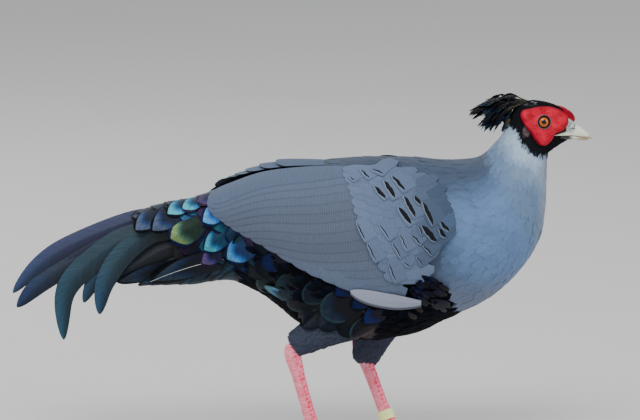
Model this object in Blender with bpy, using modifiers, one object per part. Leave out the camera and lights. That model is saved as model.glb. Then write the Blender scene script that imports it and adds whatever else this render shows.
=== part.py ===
"""A Siamese fireback cock, standing, as a life-size still model.

Metres, +Z up, +X towards the bill, -Y on the bird's right. The origin is on the floor, under the middle.
Sizes are written in millimetres and multiplied by MM.
"""

import math

import bmesh
import bpy
import numpy as np
from mathutils import Matrix, Vector

MM = 0.001
GAP = 0.3
SIDES = (("right", -1), ("left", 1))

# Sections of the plumage from the tail to the face: ridge x, ridge z, keel x, keel z, half width.
BODY = (
    (-242, 194, -242, 142, 9),
    (-187, 214, -187, 146, 14),
    (-142, 229, -142, 148, 18),
    (-106, 236, -106, 149, 24),
    (-72, 249, -72, 153, 33),
    (-37, 263, -37, 138, 45),
    (8, 272.5, 8, 105, 56),
    (58, 277.5, 58, 93, 62),
    (108, 277.5, 108, 98.5, 66),
    (143, 275, 146, 114, 66.5),
    (166, 276, 187, 133.5, 64),
    (178, 279, 219, 162, 57),
    (186, 285, 239, 194, 48.5),
    (192, 291.5, 245, 228, 39),
    (198, 298.5, 246, 255, 30),
    (203, 306.5, 246.5, 270.5, 24.5),
    (206.5, 315, 247, 279.5, 21),
    (211, 325, 248, 281.6, 19),
    (218, 332, 250.5, 283.2, 18.5),
    (229, 334.8, 253.5, 285.4, 18),
    (241, 333.8, 257, 287.6, 16.8),
    (252, 331, 261, 290, 14),
    (260, 326.5, 264.5, 292.2, 10.8),
    (265, 318.6, 267.5, 293.8, 7.5),
    (267.8, 314.6, 269.5, 294.8, 5.5),
)
# Where the plumage is parted: x of the faces behind the rump and before it, then places along BODY.
TAIL_FACE_X, RUMP_FACE_X = -112, -40
NECK_ROOT, HEAD_ROOT, FACE_END = 11.5, 15.6, 24.0

# A feather's half width along its length, as a share of the widest, from root to tip.
ROUNDED = (0.45, 0.8, 1.0, 0.98, 0.4)
LANCEOLATE = (0.45, 0.8, 1.0, 0.95, 0.66, 0.12)
SPATULATE = (0.18, 0.2, 0.55, 1.0, 0.3)
VANE_THICKNESS = 0.8
# Feathers on the body bend at every multiple of VANE_BEND and narrow over the last VANE_TIP.
VANE_BEND, VANE_TIP, VANE_TILT = 38, 9, 0.085

# Lie of the folded wing: x, the angles of its upper and lower edge from the ridge, and how far it
# stands off the body at its upper edge, in its middle and at its lower edge.
WING_LIE = (
    (145, 62, 100, 1, 2, 1),
    (134, 38, 116, 1, 5, 1.5),
    (112, 24, 127, 1, 7, 2),
    (84, 22, 127, 1.5, 8, 2),
    (48, 22, 118, 2.5, 7.5, 2),
    (8, 24, 110, 4.5, 6.5, 2),
    (-32, 27, 102, 5.5, 5.5, 2),
    (-60, 27, 88, 5, 4.5, 2),
    (-82, 26, 66, 4.2, 4, 2),
    (-95, 28, 45, 3.6, 3.6, 2.6),
)
WING_CORE_ROWS, WING_CORE_COLUMNS = 6, 7
WING_SUNK, WING_HEEL, WING_TIP_GAP = -2.0, -3.6, 2.0
# Tips of the tertials and secondaries, from the back down: x and angle from the ridge.
SECONDARY_TIPS = (
    (-92, 32),
    (-93, 43),
    (-88, 55),
    (-80, 66),
    (-69, 77),
    (-54, 86),
    (-36, 92.5),
    (-14, 96),
    (8, 99),
    (30, 102),
)
SECONDARY_ROOT_X, SECONDARY_ROOT_ANGLE = (58, 104), (30, 116)
SECONDARY_HALF_WIDTH, SECONDARY_LAYER, SECONDARY_SUNK = 12.5, 0.42, 2.2
PRIMARY_ROOT, PRIMARY_TIP, PRIMARY_HALF_WIDTH, PRIMARY_LIFTS = (122, 125), (49, 114), 8, (-1.0, -0.6)
# Long inner feathers of the left wing, which lie higher over the back than the right wing's: root and tip.
BACK_FEATHERS = (((46, 34), (-68, 20)), ((52, 30), (-58, 11)), ((58, 26), (-34, 4)))
BACK_HALF_WIDTH, BACK_LIFTS = 11, (-2.0, 3.2)
# Tiers of coverts: tip x and angle at the back and at the lower edge, feathers, length, half width.
COVERT_TIERS = (
    ((40, 29), (88, 115), 7, 44, 10.5),
    ((68, 33), (102, 110), 6, 34, 10),
)
# Their heights at root and tip, the turn from root to tip, and how the row bows backwards.
TIER_LIFTS, TIER_TURN, TIER_BOW = (-1.2, 1.7), 4, 1.6

# Rump: broad rounded coverts over the root of the tail. Tip x, feathers a side, the lowest one's angle.
COVERT_ROWS = ((-164, 2, 62), (-144, 2, 84), (-123, 3, 104))
COVERT_ROOT_X, COVERT_LENGTH, COVERT_HALF_WIDTH = -104, 34, 13
COVERT_LIFTS, COVERT_LAYER = (-1.4, 1.3), 0.5
# Feathers under the tail: root and tip.
VENT_HALF_WIDTH, VENT_LIFTS = 11, (-1.4, 2.2)
VENT_FEATHERS = (((-64, 112), (-151, 148)), ((-52, 138), (-120, 156)))

# Tail feathers of one side: the way from root to tip in x and z, half width, and how far out the
# feather lies at its root and tip.
RECTRICES = (
    (((-116, 219), (-166, 214), (-228, 190), (-263, 168), (-289, 140)), 9.5, (2.4, 3.2)),
    (((-116, 210), (-166, 203), (-228, 173), (-260, 151), (-285, 126)), 11.5, (3.8, 6.0)),
    (((-116, 206), (-166, 200), (-207, 175), (-236, 142), (-238, 94)), 12, (5.2, 13)),
    (((-116, 203), (-158, 196), (-190, 172), (-208, 152), (-218, 131)), 9, (6.6, 8.5)),
    (((-116, 208), (-150, 202), (-180, 178), (-197, 150), (-202, 120)), 11, (8.0, 15)),
    (((-116, 188), (-138, 184), (-160, 172), (-176, 162), (-188, 152)), 10.5, (4.6, 6.5)),
    (((-116, 176), (-128, 172), (-143, 164), (-158, 156), (-172, 151)), 9.5, (6.0, 8.5)),
)
# The tail's root: where it ends, how far it lies under the plumage's outline, and its gap to the rump.
TAIL_BLOCK_X, TAIL_BLOCK_SUNK, TAIL_BLOCK_GAP = -150, -3.8, 0.04
# Where the coverts lie over the tail, its feathers stay this far below the plumage's outline.
SLEEVE_END_X, SLEEVE_SUNK, SLEEVE_HEIGHT = -168, -3.6, 16
SLEEVE_SECTIONS, SLEEVE_SIDES = 6, 18
RECTRIX_STEPS = (0.0, 0.22, 0.42, 0.6, 0.78, 0.92, 1.0)
RECTRIX_CAMBER, RECTRIX_LEAN, RECTRIX_CLEAR = 0.05, 0.2, 0.7

# Eye
EYE_X, EYE_Z, EYE_RADIUS, EYE_DEPTH = 241.5, 314, 7.0, 4.4
# Red wattle round each eye: the distance of its edge from the eye, every 22.5 degrees from the bill's side up.
WATTLE_EDGE = (24.3, 21.3, 17.2, 15, 14.5, 15.3, 18.2, 24.3, 21, 17.8, 17.2, 21, 24, 20, 16.4, 21.5)
WATTLE_RAYS, WATTLE_SUNK = 26, -1.0
# Across it: the eyelids' rim, the groove behind them and the swelling, each as a share of the way and a height.
LID_INNER, LID_RIM, LID_GROOVE = 5.7, 6.6, 8.0
LID_HEIGHTS = (0.9, 1.9, 1.0)
SWELLING = ((0.35, 1.8), (0.7, 2.4), (0.92, 1.9), (1.0, 0.75))
# Shallow folds that run out from the eye: how many round it, how high, and how far turned.
FOLDS = ((7, 0.5, 0), (11, 0.35, 1))

# Bill
BILL_BASE_X = 266
# Upper bill: x, top z, bottom z, half width.
UPPER_BILL = (
    (BILL_BASE_X, 316.0, 299.6, 7.4),
    (271, 312.9, 299.0, 6.7),
    (277, 308.2, 298.1, 5.5),
    (283, 303.6, 297.1, 3.9),
    (287, 299.4, 295.9, 2.2),
    (289.6, 295.8, 294.3, 0.8),
)
# Gape: the pale edge of the upper bill that runs back under the cheek.
GAPE = ((251.5, 301.1, 299.8, 14.4), (258, 303.3, 299.7, 13.2), (268.5, 305.6, 299.3, 8.3))
# Lower bill, which closes against the upper one.
LOWER_BILL = (
    (258, 299.2, 295.0, 10.8),
    (268, 298.6, 294.4, 7.0),
    (276, 297.5, 294.0, 4.9),
    (283, 296.4, 293.9, 2.9),
    (286.5, 295.2, 293.7, 1.4),
)
# Nostril: a slit, its corners in x and z from its middle, cut from the first reach out to the second.
NOSTRIL_X, NOSTRIL_Z = 271.0, 306.0
NOSTRIL_OUTLINE = ((-2.5, -1.2), (0, -0.6), (2.5, 0), (0, 1.0))
NOSTRIL_REACH = (5.2, 9)
# Each half of the bill is round but for a flat this share of its depth past the middle.
BILL_FLAT, BILL_SIDES = 0.35, 12

# Crest: lax feathers from the hind crown, each bare at the shaft and broad at the end.
# Each one's tip, and how far its middle arches over the straight way there.
CREST_TIPS = (
    (184, 334, 4, 3.5),
    (177, 328, -5, 6),
    (169, 323, 3, 7),
    (167, 319, -2, 7.5),
    (170, 313.5, 7, 8),
    (177, 309, -8, 8.5),
    (184, 303.5, 1, 8),
    (188, 301, 9, 8),
    (193, 309, -10, 8),
    (186, 325, 10, 6),
    (183, 318, -11, 7.5),
)
# The roots follow one another along the crown in steps of CREST_ORDER.
CREST_ROOT_X, CREST_ROOT_Z, CREST_ROOT_LENGTH, CREST_ORDER = 218, 335.5, 8, 5
CREST_PAD = ((212, 2.5, 1.0), (217, 5, 2.6), (225, 5, 2.6), (232, 2.5, 1.0))
CREST_PAD_SIDES = 10
CREST_VANE_STEPS = (0.0, 0.45, 0.8, 1.0)
CREST_HALF_WIDTH, CREST_CAMBER = 4.2, 0.1
# How far the roots and the middles spread sideways as a share of the tips, and the way the faces look.
CREST_ROOT_SPREAD, CREST_MIDDLE_SPREAD, CREST_FACE = 0.25, 0.15, (0.25, 0.35, 1)

TARSUS_LENGTH, TARSUS_DEPTH, TARSUS_WIDTH = 88, 6.9, 4.9
TARSUS_FLAT = TARSUS_WIDTH / TARSUS_DEPTH
# The bird is drawn over this floor, and the finished model is raised from it to 0.
FLOOR_Z, FOOT_JOINT_Z = -9, 2
# Each leg: joint above the toes, and the way from there up to the hock.
LEGS = {
    "right": ((12, -14, FOOT_JOINT_Z), (-21.5, -22, 82.5)),
    "left": ((89, 13, FOOT_JOINT_Z), (-30.5, 25, 78.7)),
}
KNEES = {"right": (64, -33, 133), "left": (82, 31, 124)}
# The feathered drumstick from the knee to its open end over the hock: shares of the way and radii there.
CUFFS = {"right": (-8, -35.5, 91.4), "left": (63, 36, 64.7)}
THIGH_SHARES = (-0.12, 0.05, 0.3, 0.55, 0.78, 0.94, 1.0)
THIGH_RADII = (14, 26, 26, 21, 17, 14.5, 12.8)
THIGH_FLAT, THIGH_SIDES = 0.72, 16
# Room for the wing over the thigh: degrees round its edge, and height.
WING_ROOM = (8, 12)
# The bare shank from the foot to the hock, and the joint above the toes: shares of the way and scales.
SHANK_SHARES = (0.04, 0.2, 0.45, 0.7, 0.88, 0.98, 1.06, 1.11)
SHANK_SCALES = (1.12, 0.92, 0.9, 0.96, 1.12, 1.15, 0.95, 0.5)
ANKLE_SHARES, ANKLE_SCALES = (-0.07, -0.02, 0.036), (1.05, 1.25, 1.12)
SHANK_SIDES = 14
# Toes of one foot: turn from straight ahead, length without the claw, radius at the root.
TOES = (("inner", 34, 31, 4.3), ("middle", 2, 44, 4.6), ("outer", -30, 34, 4.2), ("hind", 172, 12, 3.4))
TOE_SHARES = (0.0, 0.12, 0.38, 0.45, 0.75, 1.0)
TOE_SCALES = (1.0, 1.05, 0.84, 0.9, 0.76, 0.6)
# A toe's axis lies lower than its radius, which gives it a flat sole.
TOE_START, TOE_AXIS, TOE_ROOT_RISE, TOE_SIDES = 3, 0.66, 2.0, 8
CLAW_SHARES, CLAW_SCALES = (0.0, 0.4, 0.75, 1.0), (1.0, 0.85, 0.5, 0.12)
CLAW_LENGTH, CLAW_RADIUS, CLAW_CLEAR, CLAW_ARCH, CLAW_SIDES = 11, 0.5, 0.4, 1.6, 6
# Plastic ring worn on the left leg: distance below the hock, height, wall
# and room inside.
RING_DROP, RING_HEIGHT, RING_WALL, RING_CLEAR, RING_SIDES = 71.5, 10, 1.1, 0.7, 24

COLOURS = {
    "plumage_grey": ((0.22, 0.26, 0.32), 0.75),
    "plumage_black": ((0.012, 0.014, 0.022), 0.6),
    "plumage_blue": ((0.02, 0.05, 0.1), 0.4),
    "bare_red": ((0.62, 0.02, 0.03), 0.55),
    "leg_red": ((0.62, 0.1, 0.1), 0.5),
    "horn": ((0.6, 0.58, 0.48), 0.35),
    "eye": ((0.45, 0.13, 0.01), 0.1),
    "ring_yellow": ((0.7, 0.75, 0.2), 0.4),
}


def clear_scene():
    for old in list(bpy.data.objects):
        bpy.data.objects.remove(old)


def material(name):
    found = bpy.data.materials.get(name)
    if found:
        return found
    colour, roughness = COLOURS[name]
    made = bpy.data.materials.new(name)
    made.use_nodes = True
    shader = made.node_tree.nodes["Principled BSDF"]
    shader.inputs["Base Color"].default_value = (*colour, 1)
    shader.inputs["Roughness"].default_value = roughness
    shader.inputs["Metallic"].default_value = 0
    return made


def signed_volume(points, faces):
    total = 0.0
    for face in faces:
        first = points[face[0]]
        for second, third in zip(face[1:-1], face[2:]):
            total += first.dot(points[second].cross(points[third]))
    return total


def mesh_object(name, points, faces, colour):
    """A closed mesh from points in millimetres, turned so that its faces point out."""
    points = [Vector(point) * MM for point in points]
    if signed_volume(points, faces) < 0:
        faces = [tuple(reversed(face)) for face in faces]
    mesh = bpy.data.meshes.new(name)
    mesh.from_pydata(points, [], faces)
    mesh.validate()
    mesh.materials.append(material(colour))
    made = bpy.data.objects.new(name, mesh)
    BIRD.objects.link(made)
    return made


def loft(name, rings, colour):
    """A closed solid through rings of equally many points."""
    count = len(rings[0])
    points = [point for ring in rings for point in ring]
    faces = []
    for row in range(len(rings) - 1):
        for column in range(count):
            after = (column + 1) % count
            low, high = row * count, (row + 1) * count
            faces.append((low + column, low + after, high + after, high + column))
    faces.append(tuple(reversed(range(count))))
    faces.append(tuple(range(len(points) - count, len(points))))
    return mesh_object(name, points, faces, colour)


def sheet_solid(name, top, bottom, colour):
    """A closed plate between two grids of points, cut into triangles alike on both faces."""
    rows, columns = len(top), len(top[0])
    points = [point for grid in (top, bottom) for line in grid for point in line]

    def at(side, row, column):
        return side * rows * columns + row * columns + column

    faces = []
    for row in range(rows - 1):
        for column in range(columns - 1):
            for side in (0, 1):
                a, b = at(side, row, column), at(side, row + 1, column)
                c, d = at(side, row + 1, column + 1), at(side, row, column + 1)
                pair = [(a, b, c), (a, c, d)]
                faces += pair if side == 0 else [tuple(reversed(face)) for face in pair]
        for column, flip in ((0, False), (columns - 1, True)):
            wall = (at(0, row, column), at(1, row, column), at(1, row + 1, column), at(0, row + 1, column))
            faces.append(tuple(reversed(wall)) if flip else wall)
    for column in range(columns - 1):
        for row, flip in ((0, True), (rows - 1, False)):
            wall = (at(0, row, column), at(1, row, column), at(1, row, column + 1), at(0, row, column + 1))
            faces.append(tuple(reversed(wall)) if flip else wall)
    return mesh_object(name, points, faces, colour)


def applied(made):
    """The object with its modifiers made part of its mesh."""
    graph = bpy.context.evaluated_depsgraph_get()
    mesh = bpy.data.meshes.new_from_object(made.evaluated_get(graph))
    made.modifiers.clear()
    made.data = mesh
    return made


def keep_largest(made):
    """Drops every loose scrap and every sealed hollow that fusing left."""
    shape = bmesh.new()
    shape.from_mesh(made.data)
    unseen = set(shape.faces)
    shells = []
    while unseen:
        shell, front = [], [unseen.pop()]
        while front:
            face = front.pop()
            shell.append(face)
            for neighbour in (other for edge in face.edges for other in edge.link_faces):
                if neighbour in unseen:
                    unseen.discard(neighbour)
                    front.append(neighbour)
        shells.append(shell)
    shells.sort(key=lambda shell: sum(face.calc_area() for face in shell))
    spare = [face for shell in shells[:-1] for face in shell]
    bmesh.ops.delete(shape, geom=spare, context="FACES")
    shape.to_mesh(made.data)
    shape.free()
    return made


def fuse(core, others, solver="EXACT"):
    """Joins closed pieces to the core as one closed body."""
    joining = bpy.data.collections.new("joining")
    bpy.context.scene.collection.children.link(joining)
    for other in others:
        BIRD.objects.unlink(other)
        joining.objects.link(other)
    union = core.modifiers.new("join", "BOOLEAN")
    union.operation = "UNION"
    union.operand_type = "COLLECTION"
    union.collection = joining
    union.solver = solver
    applied(core)
    for other in others:
        bpy.data.objects.remove(other)
    bpy.data.collections.remove(joining)
    return keep_largest(core)


def cut(made, cutter, solver="EXACT"):
    """Takes the cutter's shape out of the piece, then removes the cutter."""
    difference = made.modifiers.new("cut", "BOOLEAN")
    difference.operation = "DIFFERENCE"
    difference.object = cutter
    difference.solver = solver
    applied(made)
    bpy.data.objects.remove(cutter)
    return keep_largest(made)


def along(rows, t):
    """The smooth curve through rows of numbers, at t from 0 to the last row's index."""
    last = len(rows) - 1
    i = min(int(max(t, 0)), last - 1)
    f = t - i
    a, b, c, d = (np.array(rows[min(max(k, 0), last)], float) for k in (i - 1, i, i + 1, i + 2))
    return b + 0.5 * f * (c - a + f * (2 * a - 5 * b + 4 * c - d + f * (3 * (b - c) + d - a)))


def body_skin(t, angle):
    """A point of the plumage: t along BODY, angle from the ridge round the right side."""
    ridge_x, ridge_z, keel_x, keel_z, half_width = along(BODY, t)
    up = math.cos(angle)
    x = (ridge_x + keel_x) / 2 + (ridge_x - keel_x) / 2 * up
    z = (ridge_z + keel_z) / 2 + (ridge_z - keel_z) / 2 * up
    return Vector((x, -half_width * math.sin(angle), z))


def body_point(t, angle, lift=0.0):
    """The same point, raised off the plumage by lift."""
    step = 0.02
    across = body_skin(t, angle + step) - body_skin(t, angle - step)
    forward = body_skin(min(t + step, len(BODY) - 1), angle) - body_skin(t - step, angle)
    return body_skin(t, angle) + across.cross(forward).normalized() * lift


def station_table():
    steps = np.linspace(0, len(BODY) - 1, 40 * len(BODY))
    middles = [(row[0] + row[2]) / 2 for row in (along(BODY, t) for t in steps)]
    return np.array(middles), steps


STATION_X, STATION_T = station_table()


def station(x):
    """Where along BODY the section with its middle at x is."""
    return float(np.interp(x, STATION_X, STATION_T))


def body_ring(t, count, lift=0.0):
    return [body_point(t, 2 * math.pi * k / count, lift) for k in range(count)]


def stretches():
    """Where each stretch of the plumage starts and ends along BODY, its sections and points round."""
    tail_face, rump_face = station(TAIL_FACE_X), station(RUMP_FACE_X)
    return {
        "rump": (tail_face, rump_face - 0.005, 4, 18),
        "torso": (rump_face + 0.005, NECK_ROOT - 0.01, 12, 24),
        "neck": (NECK_ROOT + 0.01, HEAD_ROOT - 0.018, 7, 24),
        "head": (HEAD_ROOT + 0.018, FACE_END, 12, 22),
    }


def body_part(name, stretch, colour, lift=0.0, before=0.0, after=0.0):
    """One stretch of the plumage; as a cutter it is raised by lift and lengthened at its ends."""
    start, end, sections, points_round = stretches()[stretch]
    steps = list(np.linspace(start, end, sections))
    if before:
        steps.insert(0, start - before)
    if after:
        steps.append(end + after)
    return loft(name, [body_ring(t, points_round, lift) for t in steps], colour)


def tube_rings(centres, radii, side, ring, flat=1.0):
    """Rings round a path: radii across the path in its own plane, times flat towards side."""
    rings = []
    side = Vector(side).normalized()
    for k, (centre, radius) in enumerate(zip(centres, radii)):
        ahead = Vector(centres[min(k + 1, len(centres) - 1)]) - Vector(centres[max(k - 1, 0)])
        out = (side - ahead * side.dot(ahead) / ahead.length_squared).normalized()
        up = ahead.normalized().cross(out)
        turns = [2 * math.pi * j / ring for j in range(ring)]
        rings.append(
            [Vector(centre) + up * radius * math.cos(a) + out * radius * flat * math.sin(a) for a in turns]
        )
    return rings


def plate(grid, colour):
    """A thin plate round a grid of points, cut into triangles."""
    columns = len(grid[0])
    faces = []
    for row in range(len(grid) - 1):
        for column in range(columns - 1):
            corner = row * columns + column
            beside = corner + columns
            faces += [(corner, beside, beside + 1), (corner, beside + 1, corner + 1)]
    mesh = bpy.data.meshes.new("vane")
    mesh.from_pydata([Vector(point) * MM for line in grid for point in line], [], faces)
    mesh.materials.append(material(colour))
    made = bpy.data.objects.new("vane", mesh)
    BIRD.objects.link(made)
    wall = made.modifiers.new("thickness", "SOLIDIFY")
    wall.thickness = VANE_THICKNESS * MM
    wall.offset = 0
    return applied(made)


def share_of_width(form, t):
    return float(along([(share,) for share in form], t * (len(form) - 1))[0])


def vane_steps(root_x, tip_x):
    """Shares of a feather's length where it bends, at the same places as its neighbours."""
    length = root_x - tip_x
    bends = [VANE_BEND * k for k in range(-6, 6) if tip_x + 2 * VANE_TIP < VANE_BEND * k < root_x - VANE_TIP]
    steps = [(root_x - x) / length for x in reversed(bends)]
    return [0.0, *steps, 1 - VANE_TIP / length, 1.0]


def body_vane(root, tip, half_width, lifts, tilt, mirror, lie=None):
    """A feather on the body. root and tip are x and the angle in degrees, lifts its height at both.

    Heights count from the body or from lie. tilt is the slope across the feather, which raises its
    lower edge over the next one.
    """
    grid = []
    for t in vane_steps(root[0], tip[0]):
        x = root[0] + (tip[0] - root[0]) * t
        angle = math.radians(root[1] + (tip[1] - root[1]) * t)
        place = station(x)
        small = 0.02
        along_t = (body_skin(place + small, angle) - body_skin(place - small, angle)) / (2 * small)
        round_angle = (body_skin(place, angle + small) - body_skin(place, angle - small)) / (2 * small)
        next_x = x + (tip[0] - root[0]) * small
        next_angle = angle + math.radians(tip[1] - root[1]) * small
        shaft = body_skin(station(next_x), next_angle) - body_skin(place, angle)
        across = round_angle.cross(along_t).cross(shaft).normalized()
        width = half_width * share_of_width(ROUNDED, t)
        lift = lifts[0] + (lifts[1] - lifts[0]) * t
        line = []
        for q in (-1, 0, 1):
            move = across * width * q
            t_here = place + move.dot(along_t) / along_t.length_squared
            angle_here = angle + move.dot(round_angle) / round_angle.length_squared
            height = lift + tilt * width * q + (lie(t_here, angle_here) if lie else 0)
            point = body_point(t_here, angle_here, height)
            line.append((point.x, point.y * mirror, point.z))
        grid.append(line)
    return plate(grid, "plumage_grey")


def path_vane(path, side, half_width, form, steps, camber=0.0):
    """A feather along a smooth path in the air; side is the way that its upper face looks."""
    grid = []
    last = len(path) - 1
    for t in steps:
        centre = Vector(along(path, t * last))
        ahead = Vector(along(path, min(t + 0.03, 1) * last)) - Vector(along(path, max(t - 0.03, 0) * last))
        face = Vector(side)
        face = (face - ahead * face.dot(ahead) / ahead.length_squared).normalized()
        across = face.cross(ahead).normalized()
        width = half_width * share_of_width(form, t)
        grid.append([centre + across * width * q - face * camber * width * q * q for q in (-1, 0, 1)])
    return plate(grid, "plumage_blue")


# Trunk and neck

def trunk():
    body_part("torso", "torso", "plumage_grey")
    body_part("neck", "neck", "plumage_grey")


# Head, eyes and bill

def bill_rings(rows, grow=0.0, flat_top=False):
    """Half-round sections, flat at the mouth line; grow swells them for a cutter."""
    rings = []
    for row, (x, top, bottom, half_width) in enumerate(rows):
        x += grow * (1 if row == len(rows) - 1 else -1 if row == 0 else 0)
        ring = []
        for k in range(BILL_SIDES):
            turn = 2 * math.pi * k / BILL_SIDES
            y = (half_width + grow) * math.sin(turn)
            low, high = (-1, BILL_FLAT) if flat_top else (-BILL_FLAT, 1)
            share = min(max(math.cos(turn), low), high)
            z = bottom - grow + (share - low) / (high - low) * (top - bottom + 2 * grow)
            ring.append((x, y, z))
        rings.append(ring)
    return rings


def head_side(x, z):
    """The half width of the plumage at a place of the face seen from the side, and its angle."""
    best = None
    for t in np.linspace(HEAD_ROOT - 1, FACE_END, 120):
        row = along(BODY, t)
        ridge, keel = Vector((row[0], row[1])), Vector((row[2], row[3]))
        axis = keel - ridge
        share = (Vector((x, z)) - ridge).dot(axis) / axis.length_squared
        off = (ridge + axis * share - Vector((x, z))).length
        if 0 < share < 1 and (best is None or off < best[0]):
            best = (off, float(t), math.acos(1 - 2 * share))
    return best[1], best[2]


def head_surface(x, z, lift, side):
    t, angle = head_side(x, z)
    point = body_point(t, angle, lift)
    return Vector((point.x, -point.y * side, point.z))


def ball(name, centre, radius, colour):
    shape = bmesh.new()
    bmesh.ops.create_uvsphere(shape, u_segments=18, v_segments=9, radius=radius * MM)
    mesh = bpy.data.meshes.new(name)
    shape.to_mesh(mesh)
    shape.free()
    mesh.transform(Matrix.Translation(Vector(centre) * MM))
    mesh.materials.append(material(colour))
    made = bpy.data.objects.new(name, mesh)
    BIRD.objects.link(made)
    return made


def eye_centre(side):
    point = head_surface(EYE_X, EYE_Z, -EYE_DEPTH, side)
    return (point.x, point.y, point.z)


def head():
    made = body_part("head", "head", "plumage_black")
    for _, side in SIDES:
        cut(made, ball("socket", eye_centre(side), EYE_RADIUS + GAP, "eye"), "MANIFOLD")
    cut_for_bill(made, GAP)
    for name, side in SIDES:
        ball(f"eye_{name}", eye_centre(side), EYE_RADIUS, "eye")


def cut_for_bill(made, gap):
    for rows, flat_top in ((UPPER_BILL, False), (GAPE, False), (LOWER_BILL, True)):
        cut(made, loft("bill_cutter", bill_rings(rows, gap, flat_top), "horn"), "MANIFOLD")


def bill():
    upper = loft("bill_upper", bill_rings(UPPER_BILL), "horn")
    fuse(upper, [loft("gape", bill_rings(GAPE), "horn")])
    for _, side in SIDES:
        slit = [
            [(NOSTRIL_X + dx, side * reach, NOSTRIL_Z + dz) for dx, dz in NOSTRIL_OUTLINE]
            for reach in NOSTRIL_REACH
        ]
        cut(upper, loft("nostril", slit, "horn"))
    loft("bill_lower", bill_rings(LOWER_BILL, 0, True), "horn")


def wattle(name, side):
    """Bare skin as a swollen plate with shallow folds running out from the eye."""
    top, bottom = [], []
    for k in range(WATTLE_RAYS + 1):
        turn = 2 * math.pi * k / WATTLE_RAYS
        place = k * len(WATTLE_EDGE) / WATTLE_RAYS % len(WATTLE_EDGE)
        edge = along([(reach,) for reach in WATTLE_EDGE + WATTLE_EDGE[:3]], place)[0]
        fold = sum(rise * math.sin(turn * number + phase) for number, rise, phase in FOLDS)
        line_top, line_bottom = [], []
        across = list(zip((LID_INNER, LID_RIM, LID_GROOVE), LID_HEIGHTS))
        across += [
            (LID_GROOVE + (edge - LID_GROOVE) * share, height + fold * math.sin(math.pi * share))
            for share, height in SWELLING
        ]
        for reach, height in across:
            x = EYE_X + reach * math.cos(turn)
            z = EYE_Z + reach * math.sin(turn)
            line_top.append(head_surface(x, z, height + GAP, side))
            line_bottom.append(head_surface(x, z, WATTLE_SUNK, side))
        top.append(line_top)
        bottom.append(line_bottom)
    points, faces, columns = [], [], len(top[0])
    for grid in (top, bottom):
        points += [point for line in grid[:-1] for point in line]

    def at(face_side, ray, column):
        return face_side * WATTLE_RAYS * columns + (ray % WATTLE_RAYS) * columns + column

    for ray in range(WATTLE_RAYS):
        for column in range(columns - 1):
            for face_side in (0, 1):
                a, b = at(face_side, ray, column), at(face_side, ray + 1, column)
                c, d = at(face_side, ray + 1, column + 1), at(face_side, ray, column + 1)
                pair = [(a, b, c), (a, c, d)]
                faces += pair if face_side == 0 else [tuple(reversed(face)) for face in pair]
        inner = (at(0, ray, 0), at(1, ray, 0), at(1, ray + 1, 0), at(0, ray + 1, 0))
        outer = [at(0, ray, columns - 1), at(1, ray, columns - 1)]
        outer += [at(1, ray + 1, columns - 1), at(0, ray + 1, columns - 1)]
        faces += [inner, tuple(reversed(outer))]
    made = mesh_object(f"wattle_{name}", points, faces, "bare_red")
    cut(made, body_part("head_cutter", "head", "plumage_black", GAP, 0, 0.01), "MANIFOLD")
    cut_for_bill(made, 2 * GAP)


def crest():
    rings = []
    for x, half_width, height in CREST_PAD:
        ridge = along(BODY, float(np.interp(x, [row[0] for row in BODY], range(len(BODY)))))[1]
        turns = [2 * math.pi * k / CREST_PAD_SIDES for k in range(CREST_PAD_SIDES)]
        rings.append([(x, half_width * math.sin(a), ridge + height * math.cos(a)) for a in turns])
    made = loft("crest", rings, "plumage_black")
    feathers = []
    count = len(CREST_TIPS)
    for k, (tip_x, tip_z, tip_y, arch) in enumerate(CREST_TIPS):
        root_x = CREST_ROOT_X + CREST_ROOT_LENGTH * (k * CREST_ORDER % count / count)
        root = Vector((root_x, tip_y * CREST_ROOT_SPREAD, CREST_ROOT_Z))
        tip = Vector((tip_x, tip_y, tip_z))
        middle = root.lerp(tip, 0.5) + Vector((0, tip_y * CREST_MIDDLE_SPREAD, arch))
        face = (CREST_FACE[0], math.copysign(CREST_FACE[1], tip_y), CREST_FACE[2])
        path = [root, middle, tip]
        feathers.append(path_vane(path, face, CREST_HALF_WIDTH, SPATULATE, CREST_VANE_STEPS, CREST_CAMBER))
    fuse(made, feathers)
    cut(made, body_part("head_cutter", "head", "plumage_black", GAP))


# Wings: flight feathers and two tiers of coverts on a core that lies along the trunk.
def wing_lift(place, angle):
    """How far the folded wing stands off the body there."""
    x = float(np.interp(place, STATION_T, STATION_X))
    rows = [-row[0] for row in WING_LIE]
    row = float(np.interp(-x, rows, range(len(rows))))
    _, upper, lower, at_upper, at_middle, at_lower = along(WING_LIE, row)
    u = 2 * (math.degrees(angle) - upper) / (lower - upper) - 1
    u = min(max(u, -1), 1)
    return at_middle + ((at_upper if u < 0 else at_lower) - at_middle) * u * u


def wing_form(name, mirror, margin=0.0, height=0.0, rows=WING_CORE_ROWS):
    """The wing's core, thinner at its hind end; margin in degrees and height enlarge it for a cutter."""
    top, bottom = [], []
    for row, (x, upper, lower, *_) in enumerate(WING_LIE[:rows]):
        heel = WING_HEEL if row == rows - 1 else 0
        place = station(x)
        line_top, line_bottom = [], []
        for k in range(WING_CORE_COLUMNS):
            share = k / (WING_CORE_COLUMNS - 1)
            angle = math.radians(upper - margin + (lower - upper + 2 * margin) * share)
            lift_top = max(wing_lift(place, angle) + heel, WING_SUNK + 1) + height
            for line, lift in ((line_top, lift_top), (line_bottom, WING_SUNK)):
                point = body_point(place, angle, lift)
                line.append(Vector((point.x, point.y * mirror, point.z)))
        top.append(line_top)
        bottom.append(line_bottom)
    return sheet_solid(name, top, bottom, "plumage_grey")


def cut_for_body(made, rump_gap, solver="EXACT"):
    """Clears a piece of the trunk and the rump that it lies on."""
    cut(made, body_part("torso_cutter", "torso", "plumage_grey", GAP, 0.05, 0.05), solver)
    cut(made, body_part("rump_cutter", "rump", "plumage_grey", rump_gap, 0.2, 0.05), solver)


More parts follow.
